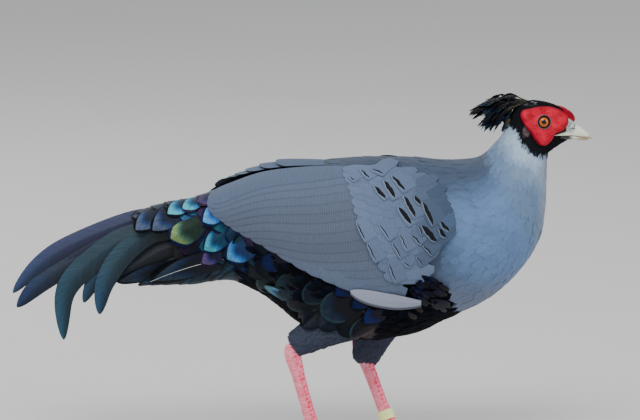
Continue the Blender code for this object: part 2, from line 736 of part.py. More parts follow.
def between(pair, share):
    return pair[0] + (pair[1] - pair[0]) * share


def wing(name, side):
    core = wing_form(f"wing_{name}", -side)
    feathers = []

    def add(root, tip, half_width, lifts):
        feathers.append(body_vane(root, tip, half_width, lifts, VANE_TILT, -side, wing_lift))

    last = len(SECONDARY_TIPS) - 1
    for k, tip in enumerate(SECONDARY_TIPS):
        root = (between(SECONDARY_ROOT_X, k / last), between(SECONDARY_ROOT_ANGLE, k / last))
        layer = (last / 2 - k) * SECONDARY_LAYER
        add(root, tip, SECONDARY_HALF_WIDTH, (layer - SECONDARY_SUNK, layer))
    add(PRIMARY_ROOT, PRIMARY_TIP, PRIMARY_HALF_WIDTH, PRIMARY_LIFTS)
    if side > 0:
        for root, tip in BACK_FEATHERS:
            add(root, tip, BACK_HALF_WIDTH, BACK_LIFTS)
    for back, low, count, length, half_width in COVERT_TIERS:
        for k in range(count):
            share = k / (count - 1)
            tip = (between((back[0], low[0]), share**TIER_BOW), between((back[1], low[1]), share))
            add((tip[0] + length, tip[1] + TIER_TURN), tip, half_width, TIER_LIFTS)
    fuse(core, feathers, "MANIFOLD")
    cut_for_body(core, WING_TIP_GAP, "MANIFOLD")


def rump():
    core = body_part("rump", "rump", "plumage_blue")
    feathers = []
    for mirror in (1, -1):
        for row, (tip_x, count, lowest) in enumerate(COVERT_ROWS):
            root_x = max(tip_x + COVERT_LENGTH, COVERT_ROOT_X)
            for k in range(count):
                angle = lowest * (k + 0.5) / count
                lifts = (COVERT_LIFTS[0], COVERT_LIFTS[1] + COVERT_LAYER * row)
                feathers.append(
                    body_vane((root_x, angle), (tip_x, angle), COVERT_HALF_WIDTH, lifts, VANE_TILT, mirror)
                )
        for root, tip in VENT_FEATHERS:
            feathers.append(body_vane(root, tip, VENT_HALF_WIDTH, VENT_LIFTS, -VANE_TILT, mirror))
    fuse(core, feathers)


def covert_sleeve():
    """The room that the coverts need round the root of the tail."""
    front, back = station(TAIL_FACE_X) + 0.1, station(SLEEVE_END_X)
    steps = list(np.linspace(back, front, SLEEVE_SECTIONS))
    sleeve = loft("sleeve", [body_ring(t, SLEEVE_SIDES, SLEEVE_HEIGHT) for t in steps], "plumage_blue")
    steps = [back - 0.2, *steps, front + 0.2]
    inside = loft("sleeve_hole", [body_ring(t, SLEEVE_SIDES, SLEEVE_SUNK) for t in steps], "plumage_blue")
    return cut(sleeve, inside, "MANIFOLD")


def tail(name, side):
    """The folded fan of one side, its feathers stacked outwards from the middle."""
    middle = GAP / 2
    rings = []
    for t in np.linspace(station(TAIL_BLOCK_X), station(TAIL_FACE_X) - TAIL_BLOCK_GAP, 4):
        ring = [body_point(t, math.pi * k / 8, TAIL_BLOCK_SUNK) for k in range(9)]
        rings.append([(point.x, side * max(-point.y, middle), point.z) for point in ring])
    core = loft(f"tail_{name}", rings, "plumage_blue")
    feathers = []
    for way, half_width, outs in RECTRICES:
        last = len(way) - 1
        path = []
        for k, (x, z) in enumerate(way):
            path.append((x, side * (middle + RECTRIX_CLEAR + between(outs, (k / last) ** 2)), z))
        face = (0, side, RECTRIX_LEAN)
        feathers.append(path_vane(path, face, half_width, LANCEOLATE, RECTRIX_STEPS, RECTRIX_CAMBER))
    fuse(core, feathers, "MANIFOLD")
    cut(core, covert_sleeve(), "MANIFOLD")


# Legs

def leg_points(name):
    """The joint above the toes and the hock."""
    joint, way = LEGS[name]
    joint = Vector(joint)
    return joint, joint + Vector(way).normalized() * TARSUS_LENGTH


def thigh_form(name, colour, grow=0.0):
    """The feathered drumstick from inside the belly down over the hock."""
    knee, cuff = Vector(KNEES[name]), Vector(CUFFS[name])
    centres = [knee.lerp(cuff, share) for share in THIGH_SHARES]
    centres[-1] += (cuff - knee).normalized() * grow
    radii = [radius + grow for radius in THIGH_RADII]
    return loft(f"thigh_{name}", tube_rings(centres, radii, (0, 1, 0), THIGH_SIDES, THIGH_FLAT), colour)


def thigh(name):
    made = thigh_form(name, "plumage_black")
    cut_for_body(made, GAP)
    cut(made, wing_form("wing_cutter", -dict(SIDES)[name], *WING_ROOM, len(WING_LIE)))


def leg_tube(made_name, name, shares, scales):
    joint, hock = leg_points(name)
    centres = [joint.lerp(hock, share) for share in shares]
    radii = [TARSUS_DEPTH * scale for scale in scales]
    return loft(made_name, tube_rings(centres, radii, (0, 1, 0), SHANK_SIDES, TARSUS_FLAT), "leg_red")


def shank(name):
    made = leg_tube(f"shank_{name}", name, SHANK_SHARES, SHANK_SCALES)
    return cut(made, thigh_form(name, "leg_red", GAP))


def foot(name, side):
    joint, _ = leg_points(name)
    pad = leg_tube(f"foot_{name}", name, ANKLE_SHARES, ANKLE_SCALES)
    toes = []
    for toe, turn, length, radius in TOES:
        heading = math.radians(turn * -side)
        ahead = Vector((math.cos(heading), math.sin(heading), 0))
        start = Vector((joint.x, joint.y, FLOOR_Z)) + ahead * TOE_START
        centres = []
        for share, scale in zip(TOE_SHARES, TOE_SCALES):
            centres.append(start + ahead * length * share + Vector((0, 0, radius * TOE_AXIS * scale)))
        centres[0].z += TOE_ROOT_RISE
        radii = [radius * scale for scale in TOE_SCALES]
        rings = tube_rings(centres, radii, ahead.cross(Vector((0, 0, 1))), TOE_SIDES)
        rings = [[Vector((point.x, point.y, max(point.z, FLOOR_Z))) for point in ring] for ring in rings]
        toes.append(loft("toe", rings, "leg_red"))
        claw(f"claw_{name}_{toe}", start + ahead * (length + GAP), ahead, radius * CLAW_RADIUS)
    return fuse(pad, toes)


def claw(name, base, ahead, radius):
    """A low arch to a point, its root cut square to meet the toe."""
    centres = []
    for share, scale in zip(CLAW_SHARES, CLAW_SCALES):
        height = CLAW_CLEAR + radius * scale + CLAW_ARCH * math.sin(math.pi * share * 0.9)
        centres.append(base + ahead * CLAW_LENGTH * share + Vector((0, 0, height)))
    radii = [radius * scale for scale in CLAW_SCALES]
    rings = tube_rings(centres, radii, ahead.cross(Vector((0, 0, 1))), CLAW_SIDES)
    rings[0] = [point - ahead * (point - base).dot(ahead) for point in rings[0]]
    loft(name, rings, "horn")


def leg_ring():
    joint, hock = leg_points("left")
    top = 1 - RING_DROP / TARSUS_LENGTH
    low = top - RING_HEIGHT / TARSUS_LENGTH

    def tube(name, room, spare):
        centres = [joint.lerp(hock, share) for share in (low - spare, top + spare)]
        depth, width = TARSUS_DEPTH + room, TARSUS_WIDTH + room
        return loft(name, tube_rings(centres, [depth] * 2, (0, 1, 0), RING_SIDES, width / depth), "ring_yellow")

    cut(tube("leg_ring", RING_CLEAR + RING_WALL, 0), tube("ring_hole", RING_CLEAR, 0.05))


def centre_on_floor():
    """Puts the origin on the floor under the middle of the bird's box."""
    corners = np.array([vertex.co for made in BIRD.objects for vertex in made.data.vertices])
    low, high = corners.min(axis=0), corners.max(axis=0)
    shift = Matrix.Translation((-(low[0] + high[0]) / 2, -(low[1] + high[1]) / 2, -low[2]))
    for made in BIRD.objects:
        made.data.transform(shift)


clear_scene()
BIRD = bpy.data.collections.new("siamese_fireback")
bpy.context.scene.collection.children.link(BIRD)
trunk()
head()
bill()
crest()
rump()
for side_name, side_sign in SIDES:
    wattle(side_name, side_sign)
    wing(side_name, side_sign)
    tail(side_name, side_sign)
    thigh(side_name)
    shank(side_name)
    foot(side_name, side_sign)
leg_ring()
centre_on_floor()
for piece in BIRD.objects:
    piece.data.shade_smooth()
    piece.data.set_sharp_from_angle(angle=math.radians(40))
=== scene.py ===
import math

import bpy
import numpy as np
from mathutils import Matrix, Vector, kdtree


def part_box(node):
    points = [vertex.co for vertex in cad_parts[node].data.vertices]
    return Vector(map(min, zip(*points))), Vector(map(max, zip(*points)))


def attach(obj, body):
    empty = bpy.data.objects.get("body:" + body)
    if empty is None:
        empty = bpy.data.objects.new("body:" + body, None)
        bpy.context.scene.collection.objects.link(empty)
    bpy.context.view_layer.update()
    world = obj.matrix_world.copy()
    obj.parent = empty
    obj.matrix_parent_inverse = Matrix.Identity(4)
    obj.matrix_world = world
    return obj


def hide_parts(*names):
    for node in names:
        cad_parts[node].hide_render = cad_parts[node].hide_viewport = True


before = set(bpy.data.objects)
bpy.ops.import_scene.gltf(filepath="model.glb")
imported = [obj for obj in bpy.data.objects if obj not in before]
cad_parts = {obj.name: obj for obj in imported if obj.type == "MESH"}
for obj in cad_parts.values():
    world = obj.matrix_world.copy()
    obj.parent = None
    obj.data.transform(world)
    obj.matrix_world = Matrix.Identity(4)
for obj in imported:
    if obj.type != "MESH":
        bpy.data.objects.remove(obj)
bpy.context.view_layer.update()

# Skin
# One seamless skin over the trunk, neck, head and thighs and over the flesh of the folded wings, a feather
# coat's depth inside the plumage's outline. It carries the same markings as the feathers that grow from it.
MM = 0.001
EYE_X, EYE_Z, EYE_RADIUS, EYE_DEPTH = 241.5, 314.0, 7.0, 4.4
eye_low, eye_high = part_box("eye_right")
# The values below count from the photograph's own zero; SHIFT puts each piece on the floor under the middle.
FLOOR_Z = -9.0
SHIFT = np.array(((eye_low.x + eye_high.x) / 2 / MM - EYE_X, 0, -FLOOR_Z))
# Sections of the plumage from the tail to the face: ridge x, ridge z, keel x, keel z, half width.
PLUMAGE = np.array((
    (-242, 194, -242, 142, 9), (-187, 214, -187, 146, 14), (-142, 229, -142, 148, 18),
    (-106, 236, -106, 149, 24), (-72, 249, -72, 153, 33), (-37, 263, -37, 138, 45),
    (8, 272.5, 8, 105, 56), (58, 277.5, 58, 93, 62), (108, 277.5, 108, 98.5, 66),
    (143, 275, 146, 114, 66.5), (166, 276, 187, 133.5, 64), (178, 279, 219, 162, 57),
    (186, 285, 239, 194, 48.5), (192, 291.5, 245, 228, 39), (198, 298.5, 246, 255, 30),
    (203, 306.5, 246.5, 270.5, 24.5), (206.5, 315, 247, 279.5, 21), (211, 325, 248, 281.6, 19),
    (218, 332, 250.5, 283.2, 18.5), (229, 334.8, 253.5, 285.4, 18), (241, 333.8, 257, 287.6, 16.8),
    (252, 331, 261, 290, 14), (260, 326.5, 264.5, 292.2, 10.8), (265, 318.6, 267.5, 293.8, 7.5),
    (267.8, 314.6, 269.5, 294.8, 5.5),
))
LAST_SECTION = len(PLUMAGE) - 1
SKIN_END_X, COAT_DEPTH = -128, 1.5
# Lie of the folded wing: x, the angles of its upper and lower edge from the ridge, and how far it stands
# off the body at its upper edge, in its middle and at its lower edge.
WING_LIE = np.array((
    (162, 62, 100, -3, -3, -3), (145, 62, 100, 1, 2, 1), (134, 38, 116, 1, 5, 1.5), (112, 24, 127, 1, 7, 2),
    (84, 22, 127, 1.5, 8, 2), (48, 22, 118, 2.5, 7.5, 2), (8, 24, 110, 4.5, 6.5, 2),
    (-32, 27, 102, 5.5, 5.5, 2), (-60, 27, 88, 5, 4.5, 2), (-82, 26, 66, 4.2, 4, 2),
    (-95, 28, 45, 3.6, 3.6, 2.6),
))
WING_SKIN_DROP = 3.6


def smooth_rows(rows, t):
    """The smooth curve through rows of numbers, at places t counted in rows."""
    last = len(rows) - 1
    t = np.clip(t, 0, last)
    i = np.minimum(t.astype(int), last - 1)
    f = (t - i)[:, None]
    a, b, c, d = (rows[np.clip(i + step, 0, last)] for step in (-1, 0, 1, 2))
    return b + 0.5 * f * (c - a + f * (2 * a - 5 * b + 4 * c - d + f * (3 * (b - c) + d - a)))


def unit(vectors):
    return vectors / np.maximum(np.linalg.norm(vectors, axis=-1, keepdims=True), 1e-9)


def outline(t, angle):
    """Points of the plumage in millimetres: t along PLUMAGE, angle from the ridge round the right side."""
    row = smooth_rows(PLUMAGE, t)
    up = np.cos(angle)
    x = (row[:, 0] + row[:, 2]) / 2 + (row[:, 0] - row[:, 2]) / 2 * up
    z = (row[:, 1] + row[:, 3]) / 2 + (row[:, 1] - row[:, 3]) / 2 * up
    return np.stack([x, -row[:, 4] * np.sin(angle), z], axis=1)


def outline_frame(t, angle):
    """The point, the slopes along the body and round it, and the way out."""
    step = 0.02
    ahead = outline(np.minimum(t + step, LAST_SECTION), angle) - outline(np.maximum(t - step, 0), angle)
    span = np.minimum(t + step, LAST_SECTION) - np.maximum(t - step, 0)
    ahead = ahead / span[:, None]
    around = (outline(t, angle + step) - outline(t, angle - step)) / (2 * step)
    return outline(t, angle), ahead, around, unit(np.cross(around, ahead))


def raised(t, angle, lift):
    point, _, _, out = outline_frame(t, angle)
    return point + out * np.reshape(lift, (-1, 1))


STATION_T = np.linspace(0, LAST_SECTION, 40 * LAST_SECTION)
STATION_X = smooth_rows(PLUMAGE, STATION_T)[:, (0, 2)].mean(axis=1)


def station(x):
    """Where along PLUMAGE the section with its middle at x is."""
    return np.interp(x, STATION_X, STATION_T)


def wing_place(t, angle):
    """Where a place of the body lies on the folded wing: across it from -1 to 1, its height and x."""
    x = np.interp(t, STATION_T, STATION_X)
    row = smooth_rows(WING_LIE, np.interp(-x, -WING_LIE[:, 0], np.arange(len(WING_LIE))))
    turn = np.degrees(angle) % 360
    turn = np.minimum(turn, 360 - turn)
    u = 2 * (turn - row[:, 1]) / (row[:, 2] - row[:, 1]) - 1
    v = np.clip(u, -1, 1)
    edge = np.where(v < 0, row[:, 3], row[:, 5])
    return u, row[:, 4] + (edge - row[:, 4]) * v * v, x


def ease(value, low, high):
    share = np.clip((value - low) / (high - low), 0, 1)
    return share * share * (3 - 2 * share)


def mesh_piece(name, points, faces, smooth=True):
    """An object at the origin from points in millimetres."""
    mesh = bpy.data.meshes.new(name)
    mesh.from_pydata(((np.asarray(points) + SHIFT) * MM).tolist(), [], faces)
    made = bpy.data.objects.new(name, mesh)
    bpy.context.scene.collection.objects.link(made)
    if smooth:
        mesh.shade_smooth()
    return made


def ring_faces(rows, columns):
    """Faces of a closed tube of rows rings with columns points each."""
    faces = []
    for row in range(rows - 1):
        for column in range(columns):
            after = (column + 1) % columns
            low, high = row * columns, (row + 1) * columns
            faces.append((low + column, low + after, high + after, high + column))
    faces.append(tuple(reversed(range(columns))))
    faces.append(tuple(range((rows - 1) * columns, rows * columns)))
    return faces


def finished(made):
    """The object with its modifiers made part of its mesh."""
    graph = bpy.context.evaluated_depsgraph_get()
    mesh = bpy.data.meshes.new_from_object(made.evaluated_get(graph))
    made.modifiers.clear()
    made.data = mesh
    return made


def tube(centres, radii, side, count, flat=1.0):
    """Rings of points round a path: radii in the path's own plane, times flat towards side."""
    centres, radii = np.asarray(centres, float), np.asarray(radii, float)
    ahead = unit(np.gradient(centres, axis=0))
    side = np.asarray(side, float)
    out = unit(side - ahead * (ahead @ side)[:, None])
    up = np.cross(ahead, out)
    turn = 2 * np.pi * np.arange(count) / count
    cos, sin = np.cos(turn)[None, :, None], np.sin(turn)[None, :, None]
    spread = up[:, None] * cos + out[:, None] * sin * flat
    return centres[:, None] + spread * radii[:, None, None]


SKIN_ROWS, SKIN_COLUMNS = 230, 132
skin_t, skin_angle = np.meshgrid(
    np.linspace(station(SKIN_END_X), LAST_SECTION, SKIN_ROWS),
    2 * np.pi * np.arange(SKIN_COLUMNS) / SKIN_COLUMNS,
    indexing="ij",
)
skin_t, skin_angle = skin_t.ravel(), skin_angle.ravel()
wing_u, wing_height, skin_x = wing_place(skin_t, skin_angle)
under_wing = (1 - ease(abs(wing_u), 0.55, 0.92)) * ease(skin_x, -100, -60) * (1 - ease(skin_x, 128, 150))
skin_lift = -COAT_DEPTH + under_wing * np.maximum(wing_height - WING_SKIN_DROP + COAT_DEPTH, 0)
skin_points = raised(skin_t, skin_angle, skin_lift)

# Legs: the feathered drumsticks from the knees inside the belly to their open ends over the hocks.
FOOT_JOINT_Z, TARSUS_LENGTH, TARSUS_DEPTH, TARSUS_WIDTH = 2, 88, 6.9, 4.9
LEG_FEET = {"right": (12, -14, FOOT_JOINT_Z), "left": (89, 13, FOOT_JOINT_Z)}
LEG_WAYS = {"right": (-21.5, -22, 82.5), "left": (-30.5, 25, 78.7)}
LEG_KNEES = {"right": (64, -33, 133), "left": (82, 31, 124)}
LEG_CUFFS = {"right": (-8, -35.5, 91.4), "left": (63, 36, 64.7)}
THIGH_SHARES = (-0.12, 0.05, 0.3, 0.55, 0.78, 0.9, 0.95)
THIGH_RADII = (14, 26, 26, 21, 17, 15, 13.2)
THIGH_FLAT, THIGH_ROWS, THIGH_COLUMNS = 0.72, 60, 40


def leg_line(name):
    """The joint above the toes and the hock."""
    foot = np.array(LEG_FEET[name], float)
    return foot, foot + unit(np.array(LEG_WAYS[name], float)) * TARSUS_LENGTH


def thigh_rings(name, drop):
    knee, cuff = np.array(LEG_KNEES[name], float), np.array(LEG_CUFFS[name], float)
    places = np.linspace(0, len(THIGH_SHARES) - 1, THIGH_ROWS)
    rows = smooth_rows(np.column_stack([THIGH_SHARES, THIGH_RADII]), places)
    centres = knee + (cuff - knee) * rows[:, :1]
    return tube(centres, rows[:, 1] - drop, (0, 1, 0), THIGH_COLUMNS, THIGH_FLAT)


shells = [(skin_points, SKIN_ROWS, SKIN_COLUMNS)]
for leg in LEG_FEET:
    shells.append((thigh_rings(leg, COAT_DEPTH).reshape(-1, 3), THIGH_ROWS, THIGH_COLUMNS))
all_points, all_faces, first = [], [], 0
for points, rows, columns in shells:
    all_points.append(points)
    faces = ring_faces(rows, columns)
    middle = points.mean(axis=0)
    probe = points[list(faces[0][:3])]
    if np.cross(probe[1] - probe[0], probe[2] - probe[0]) @ (probe[0] - middle) < 0:
        faces = [tuple(reversed(face)) for face in faces]
    all_faces += [tuple(first + corner for corner in face) for face in faces]
    first += len(points)
skin = mesh_piece("skin", np.concatenate(all_points), all_faces)
SKIN_VOXEL = 1.7
remesh = skin.modifiers.new("one_skin", "REMESH")
remesh.mode = "VOXEL"
remesh.voxel_size = SKIN_VOXEL * MM
soften = skin.modifiers.new("soften", "SMOOTH")
soften.factor, soften.iterations = 0.5, 4
finished(skin)
skin.data.shade_smooth()

# Lie, size and markings of the plumage
# Feathers point from the bill to the tail, grow longer towards the tail and are smallest on the face. The
# markings: black face and belly, pale collar, blue-grey neck and breast, grey mantle, dark grey thighs, and a
# painted shadow, near black, in the slit along the back between the folded wings.
def paint(red, green, blue):
    """A colour as the eye sees it, from 0 to 255, turned into light."""
    seen = np.array((red, green, blue)) / 255
    return np.where(seen < 0.04045, seen / 12.92, ((seen + 0.055) / 1.055) ** 2.4)


# Feather length and width in millimetres at places along PLUMAGE.
LENGTH_PLACES = (0, 5, 8, 10, 11.5, 13, 15, 16, 18, 21, 24)
FEATHER_LENGTHS = (24, 21, 17, 14.5, 12.5, 10.5, 8, 5.5, 4.2, 3.2, 2.2)
FEATHER_WIDTHS = (12, 10.5, 8, 6.5, 5.4, 4.0, 2.8, 2.1, 1.7, 1.3, 1.0)
THIGH_LENGTH, THIGH_WIDTH = 8.5, 3.2
COLLAR_EDGE, COLLAR_TOP = 12.9, 15.2
# The side view's edge of the feathers' roots on the black head, as x at heights, and the height of the
# black on the belly, at x.
HEAD_EDGE_Z = (274, 280, 283.5, 287.5, 292, 297.5, 305.5, 309, 314, 345)
HEAD_EDGE_X = (262, 247, 236, 229, 224.5, 219.5, 217, 214, 205, 200)
BELLY_EDGE_X = (-100, -45, -20, 60, 106, 112, 117, 127, 133, 140, 147.6, 153, 158, 164, 172)
BELLY_EDGE_Z = (262, 262, 215, 160, 152, 160, 168, 166, 159, 163, 152, 142, 132, 118, 90)


def wander(points, size, seed):
    """Smooth noise from -1 to 1 over patches of about that size."""
    draw = np.random.default_rng(seed)
    total = np.zeros(len(points))
    for _ in range(9):
        way = draw.normal(size=3)
        total += np.sin(points @ (way / np.linalg.norm(way)) * 2 * np.pi / (size * draw.uniform(0.7, 1.6))
                        + draw.uniform(0, 2 * np.pi))
    return total / 4.2


def on_head(points):
    """How far inside the black of the head, in millimetres."""
    x, _, z = points.T
    return (x - np.interp(z, HEAD_EDGE_Z, HEAD_EDGE_X)) * (z > HEAD_EDGE_Z[0]) - 99.0 * (z <= HEAD_EDGE_Z[0])


def markings(points, t, angle, thigh):
    """Colour of the plumage, how much it glints blue, and how finely it is barred, at each point."""
    x, y, z = points.T
    side = np.minimum(np.degrees(angle) % 360, 360 - np.degrees(angle) % 360)
    colour = np.tile(paint(62, 78, 100), (len(x), 1))

    def blend(colour, shade, amount):
        return colour + (shade - colour) * np.clip(amount, 0, 1)[:, None]

    colour = blend(colour, paint(72, 87, 102), ease(60 - x, -20, 60) * (1 - ease(side, 25, 60)))
    # painted shade: a near-black band along the back's ridge on the right side, behind the shoulder, stands
    # for the shadowed slit between the near wing and the far wing's feathers
    colour = blend(colour, paint(8, 9, 13), ease(-x, 4, 22) * ease(-y, -1, 2) * (1 - ease(side, 30, 40)))
    colour = blend(colour, paint(98, 129, 174), ease(x + 0.3 * (z - 200), 130, 182) * ease(side, 28, 75))
    colour = blend(colour, paint(100, 114, 140), ease(200 - z, 15, 60) * ease(x, 110, 150))
    colour = blend(colour, paint(104, 132, 164), ease(t, 11.5, 12.6))
    collar = ease(t + 0.25 * wander(points, 14, 3), COLLAR_EDGE, COLLAR_TOP)
    colour = blend(colour, paint(172, 196, 218), collar * (1 - 0.6 * ease(side, 110, 165)))
    colour = blend(colour, paint(150, 160, 180), ease(t, 11.8, 13.2) * ease(side, 125, 165) * 0.8)
    colour *= (0.85 + 0.06 * wander(points, 26, 5) + 0.03 * wander(points, 9, 6))[:, None]
    glint = np.zeros(len(x))
    fleck = 0.3 + 0.4 * ease(150 - x, 0, 60)
    edge = np.interp(x, BELLY_EDGE_X, BELLY_EDGE_Z)
    black_belly = z + 1.8 * wander(points, 14, 7) + 1.2 * wander(points, 6, 8) < edge
    black = np.maximum(black_belly.astype(float), thigh)
    black = np.maximum(black, (x < -66).astype(float))
    colour = blend(colour, paint(4, 5, 11), black)
    colour = blend(colour, paint(58, 64, 79), thigh)
    glint = np.maximum(glint, black * (0.1 + 0.9 * (wander(points, 16, 9) > 0.7)) * (1 - thigh))
    head = ease(on_head(points) + 0.5 * wander(points, 5, 10), -0.5, 0.5)
    colour = blend(colour, paint(12, 12, 15), head)
    glint = glint * (1 - head) + 0.06 * head
    ear = head * (1 - ease(np.hypot((x - 225) / 4, (z - 306.5) / 5), 0.6, 1.2))
    colour = blend(colour, paint(112, 96, 100), ear * (0.6 + 0.5 * wander(points, 2.4, 12)))
    flecks = head * (wander(points, 3.2, 13) > 0.55) * ease(z, 329, 332) * ease(x, 222, 226) * (x < 240)
    colour = blend(colour, paint(170, 176, 180), 0.7 * flecks)
    fleck *= (1 - black) * (1 - head)
    return np.clip(colour, 0, 1), glint, fleck


# Places on the skin's own unwrap: the body takes most of it and each thigh a strip beside it.
def body_unwrap(t, angle):
    return np.stack([0.02 + 0.76 * (t / LAST_SECTION), 0.02 + 0.96 * (angle % (2 * np.pi)) / (2 * np.pi)], 1)


skin_point, skin_ahead, _, skin_out = outline_frame(skin_t, skin_angle)
step = 0.35
further = raised(np.minimum(skin_t + step, LAST_SECTION), skin_angle, 0)
nearer = raised(np.maximum(skin_t - step, 0), skin_angle, 0)
stretch = (np.linalg.norm(further - nearer, axis=1) / 2) ** 2
body_bend = -((further + nearer - 2 * skin_point) * skin_out).sum(axis=1) / stretch
samples = [{
    "place": skin_points, "lie": -unit(skin_ahead), "bend": np.clip(body_bend, -0.004, 0.03),
    "t": skin_t, "angle": skin_angle, "thigh": np.zeros(len(skin_t)), "share": np.zeros(len(skin_t)),
    "unwrap": body_unwrap(skin_t, skin_angle),
}]
for number, leg in enumerate(LEG_FEET):
    way = unit(np.array(LEG_CUFFS[leg], float) - LEG_KNEES[leg])
    rings = thigh_rings(leg, COAT_DEPTH)
    row, column = np.meshgrid(np.arange(THIGH_ROWS) / THIGH_ROWS, np.arange(THIGH_COLUMNS) / THIGH_COLUMNS,
                              indexing="ij")
    spot = np.stack([0.82 + 0.07 * column.ravel() + 0.09 * number, 0.02 + 0.96 * row.ravel()], 1)
    count = len(spot)
    samples.append({
        "place": rings.reshape(-1, 3), "lie": np.tile(way, (count, 1)), "bend": np.zeros(count),
        "t": np.full(count, 6.0), "angle": np.full(count, np.pi), "thigh": np.ones(count), "unwrap": spot,
        "share": np.interp(row.ravel() * len(THIGH_SHARES), np.arange(len(THIGH_SHARES)), THIGH_SHARES),
    })
known = {key: np.concatenate([sample[key] for sample in samples]) for key in samples[0]}
finder = kdtree.KDTree(len(known["place"]))
for index, place in enumerate(known["place"]):
    finder.insert(place, index)
finder.balance()
skin_places = np.array([vertex.co for vertex in skin.data.vertices]) / MM - SHIFT
nearest = np.array([finder.find(place)[1] for place in skin_places])
on_skin = {key: values[nearest] for key, values in known.items() if key != "place"}
turn_z = np.array([vertex.normal for vertex in skin.data.vertices])
lie = on_skin["lie"] - turn_z * (on_skin["lie"] * turn_z).sum(axis=1)[:, None]
skin_colour, skin_glint, skin_fleck = markings(skin_places, on_skin["t"], on_skin["angle"], on_skin["thigh"])
thigh_here = on_skin["thigh"]
length = np.interp(on_skin["t"], LENGTH_PLACES, FEATHER_LENGTHS)
width = np.interp(on_skin["t"], LENGTH_PLACES, FEATHER_WIDTHS)
length = length + (THIGH_LENGTH - length) * thigh_here
width = width + (THIGH_WIDTH - width) * thigh_here


def put(mesh, name, kind, values):
    """Stores a number, colour or vector for each point of a mesh."""
    layer = mesh.attributes.get(name) or mesh.attributes.new(name, kind, "POINT")
    field = {"FLOAT": "value", "FLOAT_VECTOR": "vector", "FLOAT_COLOR": "color", "FLOAT2": "vector"}[kind]
    layer.data.foreach_set(field, np.ascontiguousarray(values, dtype=np.float32).ravel())


put(skin.data, "lie", "FLOAT_VECTOR", unit(lie))
put(skin.data, "bend", "FLOAT", on_skin["bend"] / MM)
put(skin.data, "reach", "FLOAT", length * MM)
put(skin.data, "breadth", "FLOAT", width * MM)
put(skin.data, "tint", "FLOAT_COLOR", np.column_stack([skin_colour, np.ones(len(skin_colour))]))
put(skin.data, "glint", "FLOAT", skin_glint)
put(skin.data, "fleck", "FLOAT", skin_fleck)
put(skin.data, "unwrap", "FLOAT_VECTOR", np.column_stack([on_skin["unwrap"], np.zeros(len(skin_colour))]))

# Finish of the plumage
# Vanes of fine barbs, darkened by painted shade towards the root, with dark wavy flecks across them and a
# blue glint at the rim of the black ones. The barbs slope away from the shaft on both sides.
def add_node(tree, kind, sockets=(), **settings):
    """A node with its settings, its inputs set or linked."""
    made = tree.nodes.new(kind)
    for name, value in settings.items():
        setattr(made, name, value)
    for key, value in dict(sockets).items():
        if isinstance(value, bpy.types.NodeSocket):
            tree.links.new(value, made.inputs[key])
        else:
            made.inputs[key].default_value = value
    return made


def math_node(tree, operation, first, second=0.0, clamp=False):
    made = add_node(tree, "ShaderNodeMath", {0: first, 1: second}, operation=operation, use_clamp=clamp)
    return made.outputs[0]


def mix_colour(tree, amount, first, second, mode="MIX"):
    made = add_node(tree, "ShaderNodeMix", {0: amount, 6: first, 7: second}, data_type="RGBA",
                    blend_type=mode)
    return made.outputs[2]


def step_node(tree, value, low, high):
    made = add_node(tree, "ShaderNodeMapRange", {"Value": value, "From Min": low, "From Max": high},
                    interpolation_type="SMOOTHSTEP")
    return made.outputs["Result"]


def read(tree, name):
    return add_node(tree, "ShaderNodeAttribute", attribute_name=name)


def new_group(name, inputs, outputs):
    """A shader node group with named sockets; returns the tree and its two ends."""
    tree = bpy.data.node_groups.new(name, "ShaderNodeTree")
    kinds = {"float": "NodeSocketFloat", "colour": "NodeSocketColor", "vector": "NodeSocketVector"}
    for way, sockets in (("INPUT", inputs), ("OUTPUT", outputs)):
        for socket, kind in sockets.items():
            tree.interface.new_socket(socket, in_out=way, socket_type=kinds[kind])
    return tree, tree.nodes.new("NodeGroupInput"), tree.nodes.new("NodeGroupOutput")


barbs_group, given, result = new_group(
    "feather_barbs",
    {"Barb": "float", "Slope": "float", "Fleck": "float", "Shaft": "float"},
    {"Height": "float", "Fleck": "float", "Shaft": "float", "Streak": "float"},
)
run = read(barbs_group, "run").outputs["Fac"]
span = read(barbs_group, "span").outputs["Fac"]
seed = read(barbs_group, "seed").outputs["Fac"]
off_shaft = math_node(barbs_group, "ABSOLUTE", span)
sloped = math_node(barbs_group, "SUBTRACT", run, math_node(barbs_group, "MULTIPLY", off_shaft,
                                                           given.outputs["Slope"]))
counted = math_node(barbs_group, "DIVIDE", sloped, given.outputs["Barb"])
wave = math_node(barbs_group, "SINE", math_node(barbs_group, "MULTIPLY", counted, 2 * math.pi))
where = add_node(barbs_group, "ShaderNodeCombineXYZ", {
    0: math_node(barbs_group, "MULTIPLY", counted, 0.7), 1: math_node(barbs_group, "MULTIPLY", span, 0.12),
    2: math_node(barbs_group, "MULTIPLY", seed, 91.0)})
clumps = add_node(barbs_group, "ShaderNodeTexNoise", {
    "Vector": where.outputs[0], "Scale": 0.6, "Detail": 3.0})
streak = math_node(barbs_group, "SUBTRACT", clumps.outputs[0], 0.5)
shaft = math_node(barbs_group, "SUBTRACT", 1.0, step_node(barbs_group, off_shaft, 0.15, 0.4))
shaft = math_node(barbs_group, "MULTIPLY", shaft, given.outputs["Shaft"])
wobble = add_node(barbs_group, "ShaderNodeCombineXYZ", {
    0: run, 1: math_node(barbs_group, "MULTIPLY", span, 0.4),
    2: math_node(barbs_group, "MULTIPLY", seed, 37.0)})
lines = add_node(barbs_group, "ShaderNodeTexWave", {
    "Vector": wobble.outputs[0], "Scale": 0.2, "Distortion": 4.5, "Detail": 2.0, "Detail Scale": 1.6},
    wave_type="BANDS", bands_direction="X")
flecked = math_node(barbs_group, "MULTIPLY", step_node(barbs_group, lines.outputs[1], 0.35, 0.75),
                    given.outputs["Fleck"])
height = math_node(barbs_group, "ADD", math_node(barbs_group, "MULTIPLY", wave, 0.3),
                   math_node(barbs_group, "MULTIPLY", streak, 1.2))
height = math_node(barbs_group, "ADD", height, math_node(barbs_group, "MULTIPLY", shaft, 1.4))
